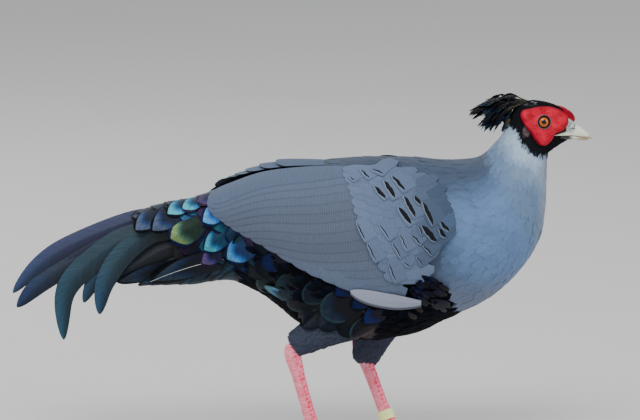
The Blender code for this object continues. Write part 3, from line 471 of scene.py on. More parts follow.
for socket, value in (("Height", height), ("Fleck", flecked), ("Shaft", shaft), ("Streak", streak)):
    barbs_group.links.new(value, result.inputs[socket])


def new_material(name, roughness, **values):
    """A Principled material; constant values go on the shader's own sockets."""
    made = bpy.data.materials.new(name)
    made.use_nodes = True
    shader = made.node_tree.nodes["Principled BSDF"]
    shader.inputs["Roughness"].default_value = roughness
    for socket, value in values.items():
        shader.inputs[socket.replace("_", " ")].default_value = value
    return made, made.node_tree, shader


def add_barbs(tree, barb, slope, shaft):
    """The shared effect of barbs in a material's tree."""
    barbs = tree.nodes.new("ShaderNodeGroup")
    barbs.node_tree = barbs_group
    for socket, value in (("Barb", barb), ("Slope", slope), ("Shaft", shaft)):
        barbs.inputs[socket].default_value = value
    tree.links.new(read(tree, "fleck").outputs["Fac"], barbs.inputs["Fleck"])
    return barbs.outputs


def add_bump(tree, shader, height, strength, distance):
    bump = add_node(tree, "ShaderNodeBump", {
        "Height": height, "Strength": strength, "Distance": distance * MM})
    tree.links.new(bump.outputs[0], shader.inputs["Normal"])


def grey_of(tree, value):
    return add_node(tree, "ShaderNodeCombineXYZ", {0: value, 1: value, 2: value}).outputs[0]


def plumage_material(name, barb=0.6, slope=1.2, shaft=0.4, roughness=0.72, root_shade=0.28, streak=0.35,
                     sheen=0.08, specular=0.3, variety=0.04):
    """Feathers that take their colour from their tint and their seed, darkened by painted shade towards the
    root.
    """
    made, tree, shader = new_material(name, roughness, Sheen_Weight=sheen, Sheen_Roughness=0.5,
                                      Specular_IOR_Level=specular)
    glint = read(tree, "glint").outputs["Fac"]
    seed = read(tree, "seed").outputs["Fac"]
    along = read(tree, "along").outputs["Fac"]
    barbs = add_barbs(tree, barb, slope, shaft)
    shade = math_node(tree, "ADD", 1 - variety, math_node(tree, "MULTIPLY", seed, 2 * variety))
    shade = math_node(tree, "ADD", shade, math_node(tree, "MULTIPLY", barbs["Streak"], streak))
    # painted shade: the colour darkens towards each vane's root, where the feathers above cover it
    shade = math_node(tree, "MULTIPLY", shade, math_node(tree, "ADD", 1 - root_shade, math_node(
        tree, "MULTIPLY", step_node(tree, along, 0.1, 0.8), root_shade)))
    colour = mix_colour(tree, 1.0, read(tree, "tint").outputs["Color"], grey_of(tree, shade), "MULTIPLY")
    colour = mix_colour(tree, math_node(tree, "MULTIPLY", barbs["Fleck"], 0.5), colour,
                        (0.012, 0.014, 0.02, 1))
    rim = math_node(tree, "MULTIPLY", step_node(tree, along, 0.55, 0.95), glint)
    blue = mix_colour(tree, seed, (0.008, 0.03, 0.14, 1), (0.015, 0.08, 0.13, 1))
    colour = mix_colour(tree, math_node(tree, "MULTIPLY", rim, 0.75), colour, blue)
    tree.links.new(colour, shader.inputs["Base Color"])
    tree.links.new(math_node(tree, "SUBTRACT", roughness, math_node(tree, "MULTIPLY", rim, 0.34)),
                   shader.inputs["Roughness"])
    tree.links.new(math_node(tree, "MULTIPLY", rim, 0.6), shader.inputs["Metallic"])
    add_bump(tree, shader, barbs["Height"], 0.25, 0.2)
    return made


skin_material, tree, shader = new_material("skin_under_feathers", 0.85)
down = add_node(tree, "ShaderNodeTexNoise", {
    "Scale": 900.0, "Detail": 2.0, "Vector": add_node(tree, "ShaderNodeTexCoord").outputs["Object"]})
dark = mix_colour(tree, 0.12, read(tree, "tint").outputs["Color"], (0.01, 0.01, 0.012, 1))
tree.links.new(mix_colour(tree, math_node(tree, "MULTIPLY", down.outputs[0], 0.2), dark,
                          (0.005, 0.005, 0.006, 1)), shader.inputs["Base Color"])
skin.data.materials.append(skin_material)
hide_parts("torso", "neck", "head", "thigh_right", "thigh_left")
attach(skin, "root")

# Body feathers
# Small overlapping feathers, each rooted in the skin and lying back over the next, tiny and velvety on the
# head, narrow on the neck, broad on the breast and mantle, lax on the belly and thighs.
def feather_form(name, shares, widths, camber, arch):
    """One closed, slightly arched vane of length 1 along X and width 1 across Y."""
    points, faces, values = [], [], []
    for share, width in zip(shares, widths):
        rise = arch * math.sin(math.pi * share)
        for across in (-1, 0, 1):
            top = camber * (1 - abs(across)) * width
            points.append((share, across * width / 2, rise + top))
            values.append((share, across))
    points.append((1, 0, arch * 0.1))
    values.append((1, 0))
    tip = len(points) - 1
    faces.append((0, 1, 2))
    for row in range(len(shares) - 1):
        a, b = row * 3, row * 3 + 3
        faces += [(a, b, b + 1, a + 1), (a + 1, b + 1, b + 2, a + 2), (a + 2, b + 2, b, a)]
    last = tip - 3
    faces += [(last, tip, last + 1), (last + 1, tip, last + 2), (last + 2, tip, last)]
    mesh = bpy.data.meshes.new(name)
    mesh.from_pydata(points, [], [tuple(reversed(face)) for face in faces])
    values = np.array(values)
    put(mesh, "along", "FLOAT", values[:, 0])
    put(mesh, "across", "FLOAT", values[:, 1])
    mesh.shade_smooth()
    return bpy.data.objects.new(name, mesh)


def tree_inputs(tree, sockets):
    for name, kind in sockets.items():
        tree.interface.new_socket(name, in_out="INPUT", socket_type="NodeSocket" + kind)
    tree.interface.new_socket("Geometry", in_out="OUTPUT", socket_type="NodeSocketGeometry")
    return tree.nodes.new("NodeGroupInput"), tree.nodes.new("NodeGroupOutput")


coat_tree = bpy.data.node_groups.new("feather_coat", "GeometryNodeTree")
given, result = tree_inputs(coat_tree, {
    "Geometry": "Geometry", "Feather": "Object", "Spacing": "Float", "Tilt": "Float", "Disorder": "Float",
    "Seed": "Int", "Material": "Material"})


def field(tree, name, kind="FLOAT"):
    return add_node(tree, "GeometryNodeInputNamedAttribute", {"Name": name}, data_type=kind).outputs[0]


roots = add_node(coat_tree, "GeometryNodeDistributePointsOnFaces", {
    "Mesh": given.outputs["Geometry"], "Distance Min": given.outputs["Spacing"], "Density Max": 4e6,
    "Density Factor": field(coat_tree, "growth"), "Seed": given.outputs["Seed"]}, distribute_method="POISSON")
chance = add_node(coat_tree, "FunctionNodeRandomValue", {"Seed": given.outputs["Seed"]}, data_type="FLOAT")
seeded = add_node(coat_tree, "GeometryNodeStoreNamedAttribute", {
    "Geometry": roots.outputs["Points"], "Name": "seed", "Value": chance.outputs[1]}, data_type="FLOAT",
    domain="POINT")
outward = add_node(coat_tree, "GeometryNodeStoreNamedAttribute", {
    "Geometry": seeded.outputs[0], "Name": "root_out", "Value": roots.outputs["Normal"]},
    data_type="FLOAT_VECTOR", domain="POINT")
upright = add_node(coat_tree, "FunctionNodeAlignRotationToVector", {"Vector": roots.outputs["Normal"]},
                   axis="Z")
laid = add_node(coat_tree, "FunctionNodeAlignRotationToVector", {
    "Rotation": upright.outputs[0], "Vector": field(coat_tree, "lie", "FLOAT_VECTOR")},
    axis="X", pivot_axis="Z")
stray = add_node(coat_tree, "FunctionNodeRandomValue", {
    "Min": (-1, -1, -1), "Max": (1, 1, 1), "Seed": 7}, data_type="FLOAT_VECTOR")
strayed = add_node(coat_tree, "ShaderNodeVectorMath", {
    0: stray.outputs[0], "Scale": given.outputs["Disorder"]}, operation="SCALE")
pitch = add_node(coat_tree, "ShaderNodeCombineXYZ", {
    1: math_node(coat_tree, "MULTIPLY", given.outputs["Tilt"], -1.0)})
turned = add_node(coat_tree, "ShaderNodeVectorMath", {
    0: strayed.outputs[0], 1: pitch.outputs[0]}, operation="ADD")
turn = add_node(coat_tree, "FunctionNodeEulerToRotation", {0: turned.outputs[0]})
posed = add_node(coat_tree, "FunctionNodeRotateRotation", {
    "Rotation": laid.outputs[0], "Rotate By": turn.outputs[0]}, rotation_space="LOCAL")
sized = add_node(coat_tree, "FunctionNodeRandomValue", {2: 0.82, 3: 1.18, "Seed": 3}, data_type="FLOAT")
scale = add_node(coat_tree, "ShaderNodeCombineXYZ", {
    0: math_node(coat_tree, "MULTIPLY", field(coat_tree, "reach"), sized.outputs[1]),
    1: math_node(coat_tree, "MULTIPLY", field(coat_tree, "breadth"), sized.outputs[1]),
    2: math_node(coat_tree, "MULTIPLY", field(coat_tree, "reach"), sized.outputs[1])})
form = add_node(coat_tree, "GeometryNodeObjectInfo", {"Object": given.outputs["Feather"]})
grown = add_node(coat_tree, "GeometryNodeInstanceOnPoints", {
    "Points": outward.outputs[0], "Instance": form.outputs["Geometry"], "Rotation": posed.outputs[0],
    "Scale": scale.outputs[0]})
real = add_node(coat_tree, "GeometryNodeRealizeInstances", {"Geometry": grown.outputs[0]})
far = math_node(coat_tree, "MULTIPLY", field(coat_tree, "along"), field(coat_tree, "reach"))
fall = math_node(coat_tree, "MULTIPLY", math_node(coat_tree, "MULTIPLY", far, far),
                 math_node(coat_tree, "MULTIPLY", field(coat_tree, "bend"), -0.5))
sink = add_node(coat_tree, "ShaderNodeVectorMath", {
    0: field(coat_tree, "root_out", "FLOAT_VECTOR"), "Scale": fall}, operation="SCALE")
bent = add_node(coat_tree, "GeometryNodeSetPosition", {
    "Geometry": real.outputs[0], "Offset": sink.outputs[0]})
spot = add_node(coat_tree, "ShaderNodeVectorMath", {
    0: field(coat_tree, "unwrap", "FLOAT_VECTOR"),
    1: add_node(coat_tree, "ShaderNodeCombineXYZ", {
        0: math_node(coat_tree, "MULTIPLY", field(coat_tree, "across"), 0.0015),
        1: math_node(coat_tree, "MULTIPLY", math_node(coat_tree, "SUBTRACT", field(coat_tree, "along"), 0.5),
                     0.003)}).outputs[0]}, operation="ADD")
in_mm = math_node(coat_tree, "DIVIDE", far, MM)
half = math_node(coat_tree, "MULTIPLY", field(coat_tree, "across"), math_node(
    coat_tree, "MULTIPLY", field(coat_tree, "breadth"), 0.5 / MM))
ruled = bent.outputs[0]
for measure, value in (("run", in_mm), ("span", half)):
    ruled = add_node(coat_tree, "GeometryNodeStoreNamedAttribute", {
        "Geometry": ruled, "Name": measure, "Value": value}, data_type="FLOAT", domain="POINT").outputs[0]
mapped = add_node(coat_tree, "GeometryNodeStoreNamedAttribute", {
    "Geometry": ruled, "Name": "OFBake", "Value": spot.outputs[0]}, data_type="FLOAT2", domain="CORNER")
coated = add_node(coat_tree, "GeometryNodeSetMaterial", {
    "Geometry": mapped.outputs[0], "Material": given.outputs["Material"]})
coat_tree.links.new(coated.outputs[0], result.inputs[0])


# Folds sharper than this are a vane's thin rim, which stays crisp.
RIM_ANGLE = math.radians(70)


def grow(name, host, tree, values, keep):
    """Runs a tree on a copy of the host's mesh and keeps the result as a plain mesh."""
    made = bpy.data.objects.new(name, host.data.copy())
    bpy.context.scene.collection.objects.link(made)
    run = made.modifiers.new("grow", "NODES")
    run.node_group = tree
    for item in tree.interface.items_tree:
        if item.in_out == "INPUT" and item.name in values:
            run[item.identifier] = values[item.name]
    finished(made)
    for layer in list(made.data.attributes):
        if layer.name not in keep and not layer.is_internal and not layer.is_required:
            made.data.attributes.remove(layer)
    made.data.materials.clear()
    made.data.materials.append(values["Material"])
    made.data.set_sharp_from_angle(angle=RIM_ANGLE)
    return made


COAT_LAYERS = ("tint", "glint", "fleck", "along", "run", "span", "seed", "OFBake")
t_here, side_here = on_skin["t"], np.degrees(on_skin["angle"]) % 360
side_here = np.minimum(side_here, 360 - side_here)
wing_u_here, _, x_here = wing_place(on_skin["t"], on_skin["angle"])
z_here = skin_places[:, 2]
# How far the bare face reaches from the eye in sixteen directions, from the bill upwards and round.
WATTLE_EDGE = np.array((
    24.3, 21.3, 17.2, 15, 14.5, 15.3, 18.2, 24.3, 21, 17.8, 17.2, 21, 24, 20, 16.4, 21.5))
# Where the folded wings, the bare face, the bill and the tail's coverts hide the skin, no feather grows.
face_x, face_z = skin_places[:, 0] - EYE_X, z_here - EYE_Z
face_turn = (np.degrees(np.arctan2(face_z, face_x)) % 360) / 22.5
face_edge = np.interp(face_turn, np.arange(17), np.append(WATTLE_EDGE, WATTLE_EDGE[0]))
bare = (np.hypot(face_x, face_z) < face_edge - 1.0) & (abs(skin_places[:, 1]) > 5) & (t_here > 15)
hidden = (wing_u_here > -0.84) & (x_here < 130)
hidden &= wing_u_here < np.interp(x_here, (0, 30, 60, 98, 108), (0.97, 0.86, 0.78, 0.78, 0.5))
hidden = (hidden | ((skin_places[:, 1] > -1) & (side_here < 45) & (x_here < 12))) & (x_here > -88)
hidden = hidden & (thigh_here < 0.5) | (thigh_here >= 0.5) & (on_skin["share"] < 0.32)
primary = (x_here > 48) & (x_here < 108) & (side_here > 108) & (side_here < 122) & (thigh_here < 0.5)
scaled = (x_here < -58) & (thigh_here < 0.5)
flat_lie = abs((on_skin["lie"] * turn_z).sum(axis=1)) < 0.75
open_skin = ~(bare | hidden | primary | scaled) & flat_lie & (t_here < LAST_SECTION - 0.15)
black_here = (skin_colour.mean(axis=1) < 0.05) & (t_here < 15)
mixed = t_here + 0.25 * wander(skin_places, 6, 21)
head_here = on_head(skin_places) > 0
trunk_here = ~head_here & (mixed <= 12.6) & ~black_here
# Each zone: where it grows, the form of its feathers, their spacing, their tilt and how unruly they are.
zones = {
    "head_feathers": (head_here, "head", 0.95, 0.09, 0.16),
    "neck_feathers": (~head_here & (mixed > 12.6) & ~black_here, "narrow", 1.35, 0.01, 0.05),
    "breast_feathers": (trunk_here & (side_here > 62), "round", 1.9, 0.005, 0.04),
    "mantle_feathers": (trunk_here & (side_here <= 62), "round", 2.0, 0.005, 0.04),
    "belly_feathers": (~head_here & black_here & (thigh_here < 0.5), "lax", 3.2, 0.03, 0.09),
    "thigh_feathers": (thigh_here >= 0.5, "lax", 1.7, 0.035, 0.12),
}
forms = {
    "head": feather_form("head_form", (0, 0.45, 0.85), (0.5, 1.0, 0.6), 0.1, 0.03),
    "narrow": feather_form("narrow_form", (0, 0.35, 0.7, 0.92), (0.45, 0.95, 0.95, 0.5), 0.022, 0.006),
    "round": feather_form("round_form", (0, 0.3, 0.6, 0.84, 0.96), (0.4, 0.85, 1.0, 0.85, 0.45), 0.014,
                          0.006),
    "lax": feather_form("lax_form", (0, 0.3, 0.6, 0.84, 0.96), (0.4, 0.9, 0.9, 0.6, 0.25), 0.05, 0.03),
}
coat_materials = {
    "head": plumage_material("velvet_feathers", barb=0.4, roughness=0.8, shaft=0.2, sheen=0.0,
                             specular=0.12),
    "narrow": plumage_material("neck_plumes", barb=0.45, roughness=0.78, shaft=0.2, root_shade=0.02,
                               streak=0.12),
    "round": plumage_material("body_feathers", barb=0.6, roughness=0.78, shaft=0.2, root_shade=0.0,
                              streak=0.15),
    "lax": plumage_material("lax_feathers", barb=0.8, roughness=0.8, sheen=0.0, specular=0.06),
}
for number, (name, (zone, form_name, spacing, tilt, disorder)) in enumerate(zones.items()):
    put(skin.data, "growth", "FLOAT", (zone & open_skin).astype(float))
    made = grow(name, skin, coat_tree, {
        "Feather": forms[form_name], "Spacing": spacing * MM, "Tilt": tilt, "Disorder": disorder,
        "Seed": number + 1, "Material": coat_materials[form_name]}, COAT_LAYERS)
    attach(made, "root")
for form_object in forms.values():
    bpy.data.objects.remove(form_object)

# Wings
# Folded wings: long rounded secondaries that close over one another from the top down, tiers of coverts over
# their roots, barred ones at the shoulder, and one pale primary below. Grey vanes with fine wavy lines, and a
# thin painted shadow along one edge of each vane where it overlaps the next one.
VANE_Q = np.array((-1, -0.9, -0.55, -0.14, 0, 0.14, 0.55, 0.9, 1))
# Tips of the folded secondaries from the wing's upper to its lower edge: x and the angle from the ridge.
SECONDARY_TIPS = np.array((
    (-92, 32), (-93, 43), (-88, 55), (-80, 66), (-69, 77), (-54, 86), (-36, 92.5), (-14, 96), (8, 99),
    (30, 102),
))
SECONDARIES, SECONDARY_ROOT_X, SECONDARY_ROOT_ANGLE = 15, (58, 104), (30, 116)
SECONDARY_HALF_WIDTH, SECONDARY_LAYER, SECONDARY_SUNK = 10.5, 0.08, 1.0
VANE_TILT = 0.012
# Long inner feathers of the left wing, which lie over the back: x and angle of the root and of the tip.
BACK_FEATHERS = (
    ((20, 30), (-84, 23)), ((20, 25), (-81, 16)), ((22, 19), (-78, 10)), ((24, 13), (-72, 5)),
    ((26, 8), (-64, 1)), ((28, 3), (-53, -3)), ((30, -2), (-40, -5)), ((32, -6), (-24, -7)),
)
BACK_LIFTS, BACK_SHADE = (-2.2, 8.0), 0.74
# The pale primary under the wing: x and z of its tip and of its root, half width, bow and heights. A darker
# one lies just below it.
PRIMARY_TIP, PRIMARY_ROOT, PRIMARY_HALF_WIDTH, PRIMARY_BOW = (48.5, 150.5), (119, 138.5), 7.2, 3.0
PRIMARY_LIFTS, PRIMARY_STEPS = (6.0, 4.6), ((0, 1.0), (2.5, 0.4))
# Tiers of coverts: tip x and angle at the back and at the lower edge, feathers, length, half width, the turn
# from root to tip, and the height of the tips.
COVERT_TIERS = (
    ((42, 27), (86, 106), 14, 46, 8.0, 4, 0.15),
    ((54, 29), (98, 104), 13, 36, 7.5, 1, 0.2),
    ((66, 31), (107, 99), 12, 30, 7.0, -4, 0.2),
    ((78, 33), (114, 96), 11, 27, 7.0, -7, 0.2),
    ((90, 36), (121, 94), 10, 25, 7.0, -9, 0.2),
    ((102, 40), (128, 92), 9, 23, 6.5, -10, 0.2),
    ((113, 44), (134, 90), 8, 21, 6.5, -10, 0.2),
    ((123, 50), (140, 88), 6, 20, 6.0, -10, 0.2),
)
TIER_BOW, TIER_SUNK = 1.6, 0.35
# Black bars at the shoulder as the side view has them: x and z of the upper and the lower end, thickness.
WING_BARS = (
    ((60, 273), (66, 259.4), 2.2), ((71, 274), (80.5, 262.5), 2.2), ((74, 255.9), (83.6, 241.7), 4.2),
    ((82.5, 262), (92.3, 241.7), 4.6), ((91, 268), (102, 248), 3.6), ((102, 247.5), (113.5, 224.5), 4.2),
    ((96, 235.7), (109, 217.8), 4.8), ((113, 246.3), (118, 237.7), 4.0),
    ((120.5, 241.7), (131.4, 217.8), 4.2), ((120, 217.8), (134, 202), 5.8),
    ((137, 221), (146.5, 212.4), 4.0), ((136, 214.4), (143, 205.8), 4.2),
    ((115.6, 217.8), (120.5, 208), 1.5), ((55, 221), (64, 202), 1.4), ((65, 201), (74.4, 181.6), 1.4),
    ((77, 218.9), (88, 203), 1.3), ((89.5, 201), (99.4, 185.5), 1.3), ((96.7, 210.4), (105.3, 192.6), 1.2),
    ((108.6, 209.1), (119, 199), 1.6), ((120.5, 198.5), (130.3, 188.2), 1.6),
    ((85.8, 182.7), (94.5, 159.9), 1.3), ((114, 187.2), (120.5, 177.3), 1.3),
    ((102, 180.6), (107.5, 176.2), 1.3), ((49, 264), (53, 258), 1.5),
)
BAR_MARGIN, BAR_ROOT, BAR_LIFTS, BAR_ROWS, BAR_WAVE = 1.7, 22, (-0.6, 0.95), 26, 0.5


def tip_steps(rows):
    """Shares of a feather's length, closer towards its tip."""
    return np.sin(np.linspace(0, np.pi / 2, rows))


def vane_width(s, narrow=0.45, full=0.35, end=0.75, point=0.5):
    """How wide a vane is along its length: from its root to full width, and from there to its tip."""
    widening = narrow + (1 - narrow) * np.sin(np.clip(s / full, 0, 1) * np.pi / 2)
    closing = 1 - np.clip((s - end) / (1 - end), 0, 1) ** 2
    return widening * np.maximum(closing, 0) ** point


def on_body(x, degrees):
    """A place of the plumage from x and the angle from the ridge."""
    return float(station(x)), math.radians(degrees)


def body_vane(root, tip, half_width, lifts, rows=16, tilt=VANE_TILT, on_wing=True, **form):
    """The middle surface of a feather on the right side, between two places of the plumage."""
    s = tip_steps(rows)
    t = np.interp(s, (0, 1), (root[0], tip[0]))
    turn = np.interp(s, (0, 1), (root[1], tip[1]))
    point, ahead, around, out = outline_frame(t, turn)
    across = unit(np.cross(out, np.gradient(point, axis=0)))
    width = half_width * vane_width(s, **form)
    move = across[:, None] * (width[:, None] * VANE_Q)[:, :, None]
    t_here = t[:, None] + (move * ahead[:, None]).sum(axis=2) / (ahead * ahead).sum(axis=1)[:, None]
    turn_here = turn[:, None] + (move * around[:, None]).sum(axis=2) / (around * around).sum(axis=1)[:, None]
    t_here, turn_here = np.clip(t_here, 0, LAST_SECTION).ravel(), turn_here.ravel()
    lift = (lifts[0] + (lifts[1] - lifts[0]) * s)[:, None] + tilt * width[:, None] * VANE_Q
    lift = lift.ravel() + (wing_place(t_here, turn_here)[1] if on_wing else 0)
    point, _, _, out = outline_frame(t_here, turn_here)
    shape = (rows, len(VANE_Q), 3)
    return {"grid": (point + out * lift[:, None]).reshape(shape), "out": out.reshape(shape), "s": s,
            "width": width,
            "length": np.linalg.norm(point.reshape(shape)[0, 4] - point.reshape(shape)[-1, 4])}


def path_vane(path, face, half_width, rows=40, camber=0.05, twist=0.0, **form):
    """The middle surface of a feather along a smooth path in the air; its upper side looks towards face."""
    path = np.asarray(path, float)
    s = tip_steps(rows)
    centre = smooth_rows(path, s * (len(path) - 1))
    ahead = unit(np.gradient(centre, axis=0))
    out = np.asarray(face, float) + np.outer(s, np.ones(3)) * 0
    out = unit(out - ahead * (out * ahead).sum(axis=1)[:, None])
    across = np.cross(ahead, out)
    turn = (twist * s)[:, None]
    across, out = across * np.cos(turn) + out * np.sin(turn), out * np.cos(turn) - across * np.sin(turn)
    width = half_width * vane_width(s, **form)
    move = across[:, None] * (width[:, None] * VANE_Q)[:, :, None]
    sag = out[:, None] * (camber * width[:, None] * VANE_Q**2)[:, :, None]
    return {"grid": centre[:, None] + move - sag, "out": np.repeat(out[:, None], len(VANE_Q), axis=1), "s": s,
            "width": width, "length": np.linalg.norm(np.diff(centre, axis=0), axis=1).sum()}


def vane_template(rows):
    """Faces of one vane and, for each of their corners, its point and which half of the map it takes."""
    columns = len(VANE_Q)
    around = 2 * columns - 2
    faces, corners = [], []
    for row in range(rows - 1):
        for column in range(around):
            after, half = (column + 1) % around, int(column >= columns - 1)
            face = (row * around + column, row * around + after, (row + 1) * around + after,
                    (row + 1) * around + column)
            faces.append(face)
            corners += [(corner, half) for corner in face]
    for cap in (tuple(reversed(range(around))), tuple(range((rows - 1) * around, rows * around))):
        faces.append(cap)
        corners += [(corner, 0) for corner in cap]
    return faces, np.array(corners)


TEMPLATES = {}
VALUE_KINDS = {"tint": "FLOAT_COLOR", "edge": "FLOAT_COLOR"}


def feather_piece(name, vanes, made_of, side=-1, thickness=0.32, ridge=0.22):
    """One piece of many closed vanes, thin at the rim and thickest along the shaft."""
    ring_q = np.concatenate([VANE_Q, VANE_Q[-2:0:-1]])
    cells = math.ceil(math.sqrt(len(vanes)))
    points, faces, map_places, layers, first = [], [], [], {}, 0
    for number, vane in enumerate(vanes):
        grid, out, s = vane["grid"], vane["out"], vane["s"]
        rows = len(s)
        if rows not in TEMPLATES:
            TEMPLATES[rows] = vane_template(rows)
        template, corners = TEMPLATES[rows]
        thick = vane.get("thickness", thickness) * (1 - 0.8 * s**3)[:, None] * (1 - VANE_Q**2)
        shaft = vane.get("ridge", ridge) * (abs(VANE_Q) < 0.05) * (1 - s)[:, None]
        top = grid + out * (thick + shaft)[:, :, None]
        low = (grid - out * thick[:, :, None])[:, -2:0:-1]
        ring = np.concatenate([top, low], axis=1).reshape(-1, 3)
        points.append(ring)
        around = len(ring_q)
        faces += [tuple(first + corner for corner in face) for face in template]
        row, column = corners[:, 0] // around, corners[:, 0] % around
        u = 0.04 + 0.42 * (ring_q[column] + 1) / 2 + 0.5 * corners[:, 1]
        v = 0.05 + 0.9 * s[row]
        map_places.append(np.stack([(number % cells + u) / cells, (number // cells + v) / cells], 1))
        count = len(ring)
        along = np.repeat(s, around)
        across = np.tile(ring_q, rows)
        own = {"along": along, "run": along * vane["length"], "across": across,
               "span": np.repeat(vane["width"], around) * across}
        for key, value in {**VANE_VALUES, **vane.get("values", {})}.items():
            value = np.asarray(value, float)
            if key in VALUE_KINDS:
                value = np.tile(value, (count, 1)) if value.ndim == 1 else value
                own[key] = np.column_stack([value, np.ones(count)])
            else:
                own[key] = np.full(count, value) if value.ndim == 0 else value
        for key, value in own.items():
            layers.setdefault(key, []).append(value)
        first += count
    points = np.concatenate(points)
    if side > 0:
        points = points * (1, -1, 1)
    made = mesh_piece(name, points, faces)
    for key, values in layers.items():
        put(made.data, key, VALUE_KINDS.get(key, "FLOAT"), np.concatenate(values))
    unwrap = made.data.uv_layers.new(name="OFBake")
    unwrap.uv.foreach_set("vector", np.concatenate(map_places).astype(np.float32).ravel())
    if side > 0:
        made.data.flip_normals()
    made.data.set_sharp_from_angle(angle=RIM_ANGLE)
    made.data.materials.append(made_of)
    return made


VANE_VALUES = {"seed": 0.5, "glint": 0.0, "fleck": 0.0, "tint": (0.2, 0.2, 0.2)}


def between(pair, share):
    return pair[0] + (pair[1] - pair[0]) * share


def side_place(x, z, lift=7.0):
    """The place on the right side of the plumage that the side view's x and z show, lift above it."""
    t, turn = np.array([station(x)]), np.array([1.4])
    for _ in range(12):
        point, ahead, around, out = outline_frame(t, turn)
        miss = (np.array((x, 0, z)) - point - out * lift)[0]
        area = ahead[0, 0] * around[0, 2] - ahead[0, 2] * around[0, 0]
        t = t + np.clip((miss[0] * around[0, 2] - miss[2] * around[0, 0]) / area, -1, 1)
        turn = turn + np.clip((ahead[0, 0] * miss[2] - ahead[0, 2] * miss[0]) / area, -0.3, 0.3)
        t, turn = np.clip(t, 0, LAST_SECTION - 0.1), np.clip(turn, 0.05, 3.0)
    return float(t[0]), float(turn[0])


def side_depth(x, z, leg):
    """How far out the plumage of the body and of the drumstick stands at places of the side view."""
    row = smooth_rows(PLUMAGE, station(x.ravel()))
    middle, half = (row[:, 1] + row[:, 3]) / 2, (row[:, 1] - row[:, 3]) / 2
    body = row[:, 4] * np.sqrt(1 - np.clip((z.ravel() - middle) / half, -0.99, 0.99) ** 2)
    knee, cuff = np.array(LEG_KNEES[leg], float), np.array(LEG_CUFFS[leg], float)
    way = unit((cuff - knee)[[0, 2]])
    off = np.stack([x.ravel() - knee[0], z.ravel() - knee[2]], 1)
    share = off @ way / np.linalg.norm((cuff - knee)[[0, 2]])
    radius = np.interp(share, THIGH_SHARES, THIGH_RADII)
    across = off @ np.array((-way[1], way[0]))
    thigh = np.sqrt(np.maximum(radius**2 - across**2, 0)) * THIGH_FLAT
    thigh += abs(knee[1] + (cuff - knee)[1] * share)
    thigh = np.where(abs(across) < radius, thigh, 0) * ease(share, -0.3, 0.1)
    return ((body + thigh + np.sqrt((body - thigh) ** 2 + 16)) / 2).reshape(x.shape)


def side_vane(tip, root, half_width, lifts, rows=26, bow=0.0, leg="right", **form):
    """The middle surface of a feather that lies over the flank between two places of the side view."""
    s = tip_steps(rows)
    tip, root = np.array(tip, float), np.array(root, float)
    centre = root + (tip - root) * s[:, None]
    centre[:, 1] -= bow * 4 * s * (1 - s)
    width = half_width * vane_width(s, **form)
    ahead = unit(np.gradient(centre, axis=0))
    across = np.stack([-ahead[:, 1], ahead[:, 0]], 1)
    place = centre[:, None] + across[:, None] * (width[:, None] * VANE_Q)[:, :, None]
    lift = (lifts[0] + (lifts[1] - lifts[0]) * s)[:, None]
    depth = side_depth(place[:, :, 0], place[:, :, 1], leg) + lift
    grid = np.stack([place[:, :, 0], -depth, place[:, :, 1]], axis=2)
    out = np.tile(unit(np.array((0, -1, -0.15))), grid.shape[:2] + (1,))
    return {"grid": grid, "out": out, "s": s, "width": width, "length": np.linalg.norm(tip - root)}


def barred_vane(upper, lower, thickness):
    """A blunt covert whose black bar runs between two places of the side view, near its tip."""
    upper, lower = np.array(upper, float), np.array(lower, float)
    middle, way = (upper + lower) / 2, unit(lower - upper)
    length = np.linalg.norm(lower - upper)
    ahead = np.array((way[1], -way[0]))
    tip = middle + ahead * (thickness / 2 + BAR_MARGIN)
    root = middle - ahead * BAR_ROOT
    vane = body_vane(side_place(*root), side_place(*tip), length / 2 + 1.2, BAR_LIFTS, rows=BAR_ROWS,
                     narrow=0.6, full=0.3, end=0.93)
    grid = vane["grid"]
    row = np.argmin(np.hypot(grid[:, 4, 0] - middle[0], grid[:, 4, 2] - middle[1]))
    shaft = unit(grid[row + 2, 4] - grid[row - 3, 4])
    off = grid - grid[row, 4]
    near = off @ shaft
    side = np.linalg.norm(off - near[:, :, None] * shaft, axis=2)
    near = near + BAR_WAVE * np.sin(side * np.sign(VANE_Q) * 0.75 + upper[0])
    half = thickness / 2 * np.sqrt(np.clip(1 - (side / (length / 2)) ** 2, 0, 1))
    vane["values"] = {key: np.concatenate([value, value[:, -2:0:-1]], axis=1).ravel()
                      for key, value in (("bar", near), ("bar_half", half))}
    return vane


def wing_tint(x, angle, draw):
    """Slate grey, bluer at the shoulder and browner towards the tip and the lower edge."""
    slate, dusk = paint(96, 113, 140), paint(82, 86, 96)
    brown = np.clip(0.3 + (10 - x) / 190 + (angle - 70) / 120, 0, 1)
    t, turn = np.array([station(x)]), np.radians([angle])
    body = markings(outline(t, turn), t, turn, np.zeros(1))[0][0]
    shade = 1 - 0.2 * ease(np.array(x), 50, 100) * (1 - ease(np.array(angle), 50, 90))
    grey = (slate + (dusk - slate) * brown) * shade
    return (grey + (body - grey) * ease(np.array(x), 96, 134)) * draw.uniform(0.94, 1.06)


wing_material = plumage_material("wing_vanes", barb=0.7, slope=1.1, shaft=0.3, roughness=0.68, root_shade=0.04,
                                 streak=0.12, variety=0.02, sheen=0.04, specular=0.15)
tree = wing_material.node_tree
shader = tree.nodes["Principled BSDF"]
plain = shader.inputs["Base Color"].links[0].from_socket
bar_half = read(tree, "bar_half").outputs["Fac"]
past_bar = read(tree, "bar").outputs["Fac"]
marked = step_node(tree, bar_half, 0.1, 0.3)
beyond = math_node(tree, "SUBTRACT", math_node(tree, "ABSOLUTE", past_bar), bar_half)
pale = math_node(tree, "SUBTRACT", 1.0, step_node(tree, beyond, 0.3, 0.9))
pale = math_node(tree, "MULTIPLY", pale, marked)
pale = math_node(tree, "MULTIPLY", pale, math_node(tree, "ADD", 0.02, math_node(
    tree, "MULTIPLY", step_node(tree, past_bar, -0.3, 0.3), 0.4)))
dark = math_node(tree, "SUBTRACT", 1.0, step_node(tree, beyond, -0.25, 0.15))
